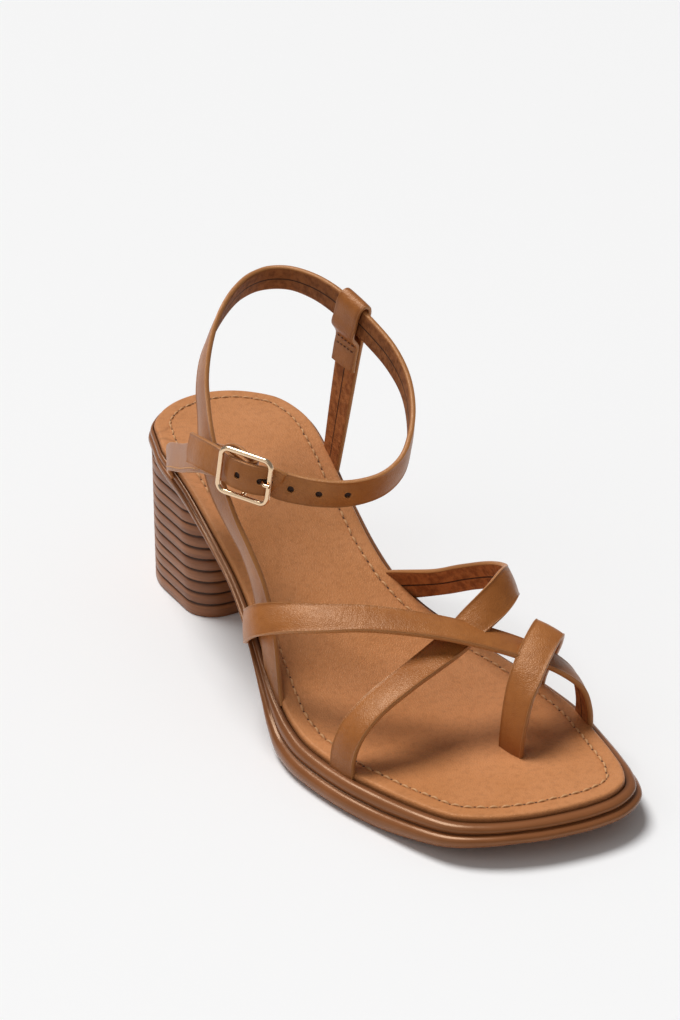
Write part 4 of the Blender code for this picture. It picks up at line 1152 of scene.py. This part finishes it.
def build_ankle_strap(path):
    verts, faces, attributes = ribbon(path, ANKLE_WIDTH, ANKLE_THICKNESS, feet=first_end)
    strap = make_piece("ankle_strap_leather", verts, faces, ANKLE, "ankle_strap",
                       attributes)
    centre, ahead, side, face = frames(path)
    walked = lengths_along(centre)
    along_u = (centre - BUCKLE_CENTRE) @ AXIS_U
    last = len(path) - 1
    prong_at = max(i for i in range(last) if along_u[i] > PRONG_HOLE_U)
    share = (along_u[prong_at] - PRONG_HOLE_U) / (along_u[prong_at] - along_u[prong_at + 1])
    prong_walk = walked[prong_at] + share * (walked[prong_at + 1] - walked[prong_at])
    shade_discs = []
    for k in range(-1, FRONT_HOLES + 1):
        at = prong_walk - k * HOLE_SPACING
        place = np.array([np.interp(at, walked, centre[:, j]) for j in range(3)])
        out = np.array([np.interp(at, walked, face[:, j]) for j in range(3)])
        i = int(np.searchsorted(walked, at))
        length = PRONG_HOLE_LENGTH if k == 0 else HOLE_DIAMETER
        width = PRONG + 3 * GAP if k == 0 else HOLE_DIAMETER
        punch(strap, place, out, ahead[i], width, length)
        shade_discs.append(hole_shade_disc(place, out, ahead[i], width, length))
    verts, faces, _ = join_parts(shade_discs)
    make_piece("strap_hole_shade", verts, faces, HOLE_SHADE, None, sharp=30)
    return strap


def build_quarter_strap():
    outer = table_rows(QUARTER_STRAP)
    bend = CENTRE_BAR / 2 + GAP + QUARTER_THICKNESS / 2
    wrap = [buckle_row(-SIDE_BAR, QUARTER_OUTER), buckle_row(-1.6 * bend, WRAP_OUTER - 0.7 * bend)]
    for angle in (80, 40, 0, -40, -80):
        a = math.radians(angle)
        place = at_buckle(bend * math.cos(a), 0.0, -BAR_DROP + bend * math.sin(a))
        wrap.append(np.array([*place, *unit(math.cos(a) * AXIS_U + math.sin(a) * AXIS_N)]))
    wrap.append(beneath(buckle_row(-1.7 * bend, WRAP_INNER - 0.6 * bend), 0.0))
    wrap.append(beneath(buckle_row(-SIDE_BAR, QUARTER_INNER), 0.0))
    deep = QUARTER_OUTER - QUARTER_INNER
    flap = [beneath(row, deep) for row in outer[::-1][:QUARTER_TUNNEL_ROWS]]
    flap.append(beneath(outer[-QUARTER_TUNNEL_ROWS - 1], QUARTER_THICKNESS + GAP + ROOM))
    path = strap_path(outer + wrap + flap, start=QUARTER_FROM)
    verts, faces, attributes = ribbon(path, QUARTER_WIDTH, QUARTER_THICKNESS, crown=FLAT_CROWN,
                                      feet=first_end)
    strap = make_piece("quarter_strap_leather", verts, faces, QUARTER, "quarter_strap",
                       attributes)
    punch(strap, at_buckle(bend * 0.6, 0.0, -BAR_DROP), AXIS_N, AXIS_U,
          PRONG + 2 * (GAP + ROOM), 5.2 * bend)
    start, end = walk_at(path, outer[0][:3]), walk_at(path, outer[3][:3])
    low = -1.0 if frames(path)[2][SPAN_STEPS][2] > 0 else 1.0
    parts = seam_along(path, QUARTER_THICKNESS, start + QUARTER_SEAM_START, end,
                       low * QUARTER_SEAM_OFF, QUARTER_SEAM_PITCH)
    verts, faces, _ = join_parts(parts)
    make_piece("quarter_stitching", verts, faces, THREAD, None, sharp=180)


def seam_along(path, thickness, start, end, w, pitch):
    """Stitches that follow a strap at a constant place across it, between two lengths."""
    parts = []
    for at in np.arange(start + pitch / 2, end, pitch):
        centre, ahead, side, face = route_at(path, at)
        here = centre + side * w + face * thickness / 2
        parts.append((*stitch(here, unit(ahead), unit(face), pitch * 0.72, SEAM_WIDTH,
                              QUARTER_SEAM_RISE), {}))
    return parts


def seam_across(path, thickness, at, half, count):
    """A row of stitches straight across a strap."""
    centre, _, side, face = route_at(path, at)
    pitch = 2 * half / count
    parts = []
    for k in range(count):
        here = centre + side * (-half + (k + 0.5) * pitch) + face * thickness / 2
        parts.append((*stitch(here, unit(side), unit(face), pitch * 0.7, SEAM_WIDTH,
                              TAB_SEAM_RISE), {}))
    return parts


def route_at(path, at):
    """Centre, tangent, width and face directions at a length along a route."""
    parts = frames(path)
    walk = lengths_along(parts[0])
    return [np.array([np.interp(at, walk, v[:, j]) for j in range(3)]) for v in parts]


def walk_at(path, point):
    """Length along the path at its sample nearest to a point."""
    walk = lengths_along(path[:, :3])
    return walk[np.linalg.norm(path[:, :3] - point, axis=1).argmin()]


def build_tab(ankle):
    y_loop = HEEL_Y - TAB_LOOP_ALONG * INSOLE_LENGTH
    centre, ahead, side, face = frames(ankle)
    medial = [i for i in range(len(ankle)) if centre[i, 0] > 0]
    at = min(medial, key=lambda i: abs(centre[i, 1] - y_loop))
    place, out, rise = centre[at], face[at], side[at]
    rise = rise * math.copysign(1.0, rise[2])
    half = ANKLE_WIDTH / 2
    away = ANKLE_THICKNESS / 2 + GAP + 2 * ROOM + TAB_THICKNESS / 2

    def row(n, w, look):
        return np.array([*(place + out * n + rise * w), *unit(look)])

    above = half + GAP + TAB_THICKNESS / 2
    loop = [row(away, -half - TAB_STITCH_DROP, out), row(away, -0.3 * half, out),
            row(away, 0.75 * half, out), row(0.65 * away, above - 0.1 * away, out + rise),
            row(0.0, above + 0.2 * away, rise), row(-0.65 * away, above - 0.1 * away, rise - out),
            row(-away, 0.75 * half, -out), row(-away, -0.3 * half, -out),
            row(-away, -half - 0.2 * TAB_STITCH_DROP, -out)]
    foot = strap_foot(TAB_FROM)
    stitch_at = loop[0][:3]
    down = unit(foot[:3] - stitch_at)
    flap = []
    for drop in (0.3 * TAB_STITCH_DROP, TAB_FLAP / 2, TAB_FLAP):
        point = stitch_at + down * drop - out * (TAB_THICKNESS + GAP)
        flap.append(np.array([*point, *-out]))
    path = strap_path(loop + flap, start=TAB_FROM)
    reach = lengths_along(path[:, :3])
    rising = np.linalg.norm(stitch_at - foot[:3])
    widths = TAB_BASE_WIDTH + (TAB_LOOP_WIDTH - TAB_BASE_WIDTH) * np.clip(reach / rising, 0, 1)
    verts, faces, attributes = ribbon(path, TAB_LOOP_WIDTH, TAB_THICKNESS, crown=FLAT_CROWN,
                                      widths=widths, feet=first_end)
    make_piece("medial_tab_leather", verts, faces, STRAP, "medial_tab", attributes)
    first = walk_at(path, flap[0][:3])
    rows = [seam_across(path, TAB_THICKNESS, first + drop, TAB_SEAM_HALF, TAB_SEAM_STITCHES)
            for drop in TAB_SEAM_DROPS]
    verts, faces, _ = join_parts(rows[0] + rows[1])
    make_piece("tab_stitching", verts, faces, DARK_THREAD, None, sharp=180)


# ---------------------------------------------------------------- buckle


def build_buckle():
    half_u, half_v = FRAME_LENGTH / 2 - WIRE / 2, FRAME_WIDTH / 2 - WIRE / 2
    radius = FRAME_CORNER - WIRE / 2
    points = []
    for su, sv, start in ((1, 1, 0), (-1, 1, 90), (-1, -1, 180), (1, -1, 270)):
        for a in np.radians(start + np.linspace(0, 90, 13)):
            points.append(at_buckle(su * (half_u - radius) + radius * math.cos(a),
                                    sv * (half_v - radius) + radius * math.sin(a), 0.0))
    parts = [(*tube(points, WIRE / 2, 20, closed=True), {})]
    leg = half_v - CENTRE_BAR / 2
    side = [(half_v, 0.0), (leg, -0.35 * BAR_DROP), (leg - 0.2 * CENTRE_BAR, -0.8 * BAR_DROP),
            (leg - 0.8 * CENTRE_BAR, -BAR_DROP)]
    bar = [at_buckle(0.0, v, n) for v, n in side] + [at_buckle(0.0, -v, n) for v, n in side[::-1]]
    bar = smooth_path(np.array(bar), 5)
    parts.append((*tube(bar, CENTRE_BAR / 2, 14), {}))
    verts, faces, _ = join_parts(parts)
    make_piece("buckle_frame_brass", verts, faces, BRASS, "buckle_frame", sharp=80)
    eye = CENTRE_BAR / 2 + GAP + PRONG / 2
    hook = [(eye * math.cos(math.radians(a)), -BAR_DROP + eye * math.sin(math.radians(a)))
            for a in (-60, -105, -150, -195, -240)]
    lift = WIRE / 2 + GAP + PRONG / 2
    low = -BAR_DROP + eye
    arm = [(0.10 * SIDE_BAR, low), (0.45 * SIDE_BAR, low - 0.1 * PRONG),
           (0.64 * SIDE_BAR, low + 0.6 * PRONG), (0.80 * SIDE_BAR, 0.45 * lift),
           (0.92 * SIDE_BAR, 0.95 * lift), (1.12 * SIDE_BAR, 0.98 * lift)]
    points = smooth_path(np.array([at_buckle(u, 0.0, n) for u, n in hook + arm]), 6)
    verts, faces = tube(points, PRONG / 2, 14)
    make_piece("buckle_prong_brass", verts, faces, BRASS, "buckle_prong", sharp=80)


# ---------------------------------------------------------------- stage


# Light: the sky's strength, and each soft lamp's direction, strength and width in degrees
SKY = 0.22
LAMPS = (
    ("key", (-0.16, 0.44, 1.0), 2.66, 28.0),
    ("side_fill", (-1.0, -0.15, 0.7), 0.28, 50.0),
)


def add_sun(name, come_from, strength, angle):
    """Soft distant light: a bright patch of sky of that many degrees."""
    light = bpy.data.lights.new(name, "SUN")
    light.energy = strength
    light.angle = math.radians(angle)
    obj = bpy.data.objects.new(name, light)
    bpy.context.scene.collection.objects.link(obj)
    obj.rotation_euler = Vector(come_from).to_track_quat("Z", "Y").to_euler()


def build_stage():
    world = bpy.data.worlds.new("studio")
    world.use_nodes = True
    background = world.node_tree.nodes["Background"]
    background.inputs["Color"].default_value = (1.0, 1.0, 1.0, 1.0)
    background.inputs["Strength"].default_value = SKY
    bpy.context.scene.world = world
    mesh = bpy.data.meshes.new("floor")
    reach = 6.0
    corners = [(-reach, -reach, 0), (reach, -reach, 0), (reach, reach, 0), (-reach, reach, 0)]
    mesh.from_pydata(corners, [], [(0, 1, 2, 3)])
    floor = bpy.data.objects.new("floor", mesh)
    bpy.context.scene.collection.objects.link(floor)
    mesh.materials.append(plain("floor_white", (0.90, 0.90, 0.90), 0.7).finish())
    for lamp in LAMPS:
        add_sun(*lamp)
    scene = bpy.context.scene
    scene.view_settings.view_transform = "Standard"
    scene.view_settings.look = "None"


def build_camera():
    camera = bpy.data.cameras.new("camera")
    camera.sensor_fit = "VERTICAL"
    camera.sensor_width = SENSOR
    camera.sensor_height = SENSOR
    camera.lens = CAMERA_LENS_PIXELS / IMAGE_HEIGHT * SENSOR
    obj = bpy.data.objects.new("camera", camera)
    bpy.context.scene.collection.objects.link(obj)
    obj.location = CAMERA_PLACE
    obj.rotation_euler = [math.radians(a) for a in CAMERA_TURN]
    camera.clip_start = 0.01
    bpy.context.scene.camera = obj


build_stage()
build_camera()
build_outsole()
build_insole()
build_insole_stitching()
build_heel()
build_forefoot_straps()
ankle = ankle_path()
build_ankle_strap(ankle)
build_quarter_strap()
build_tab(ankle)
build_buckle()
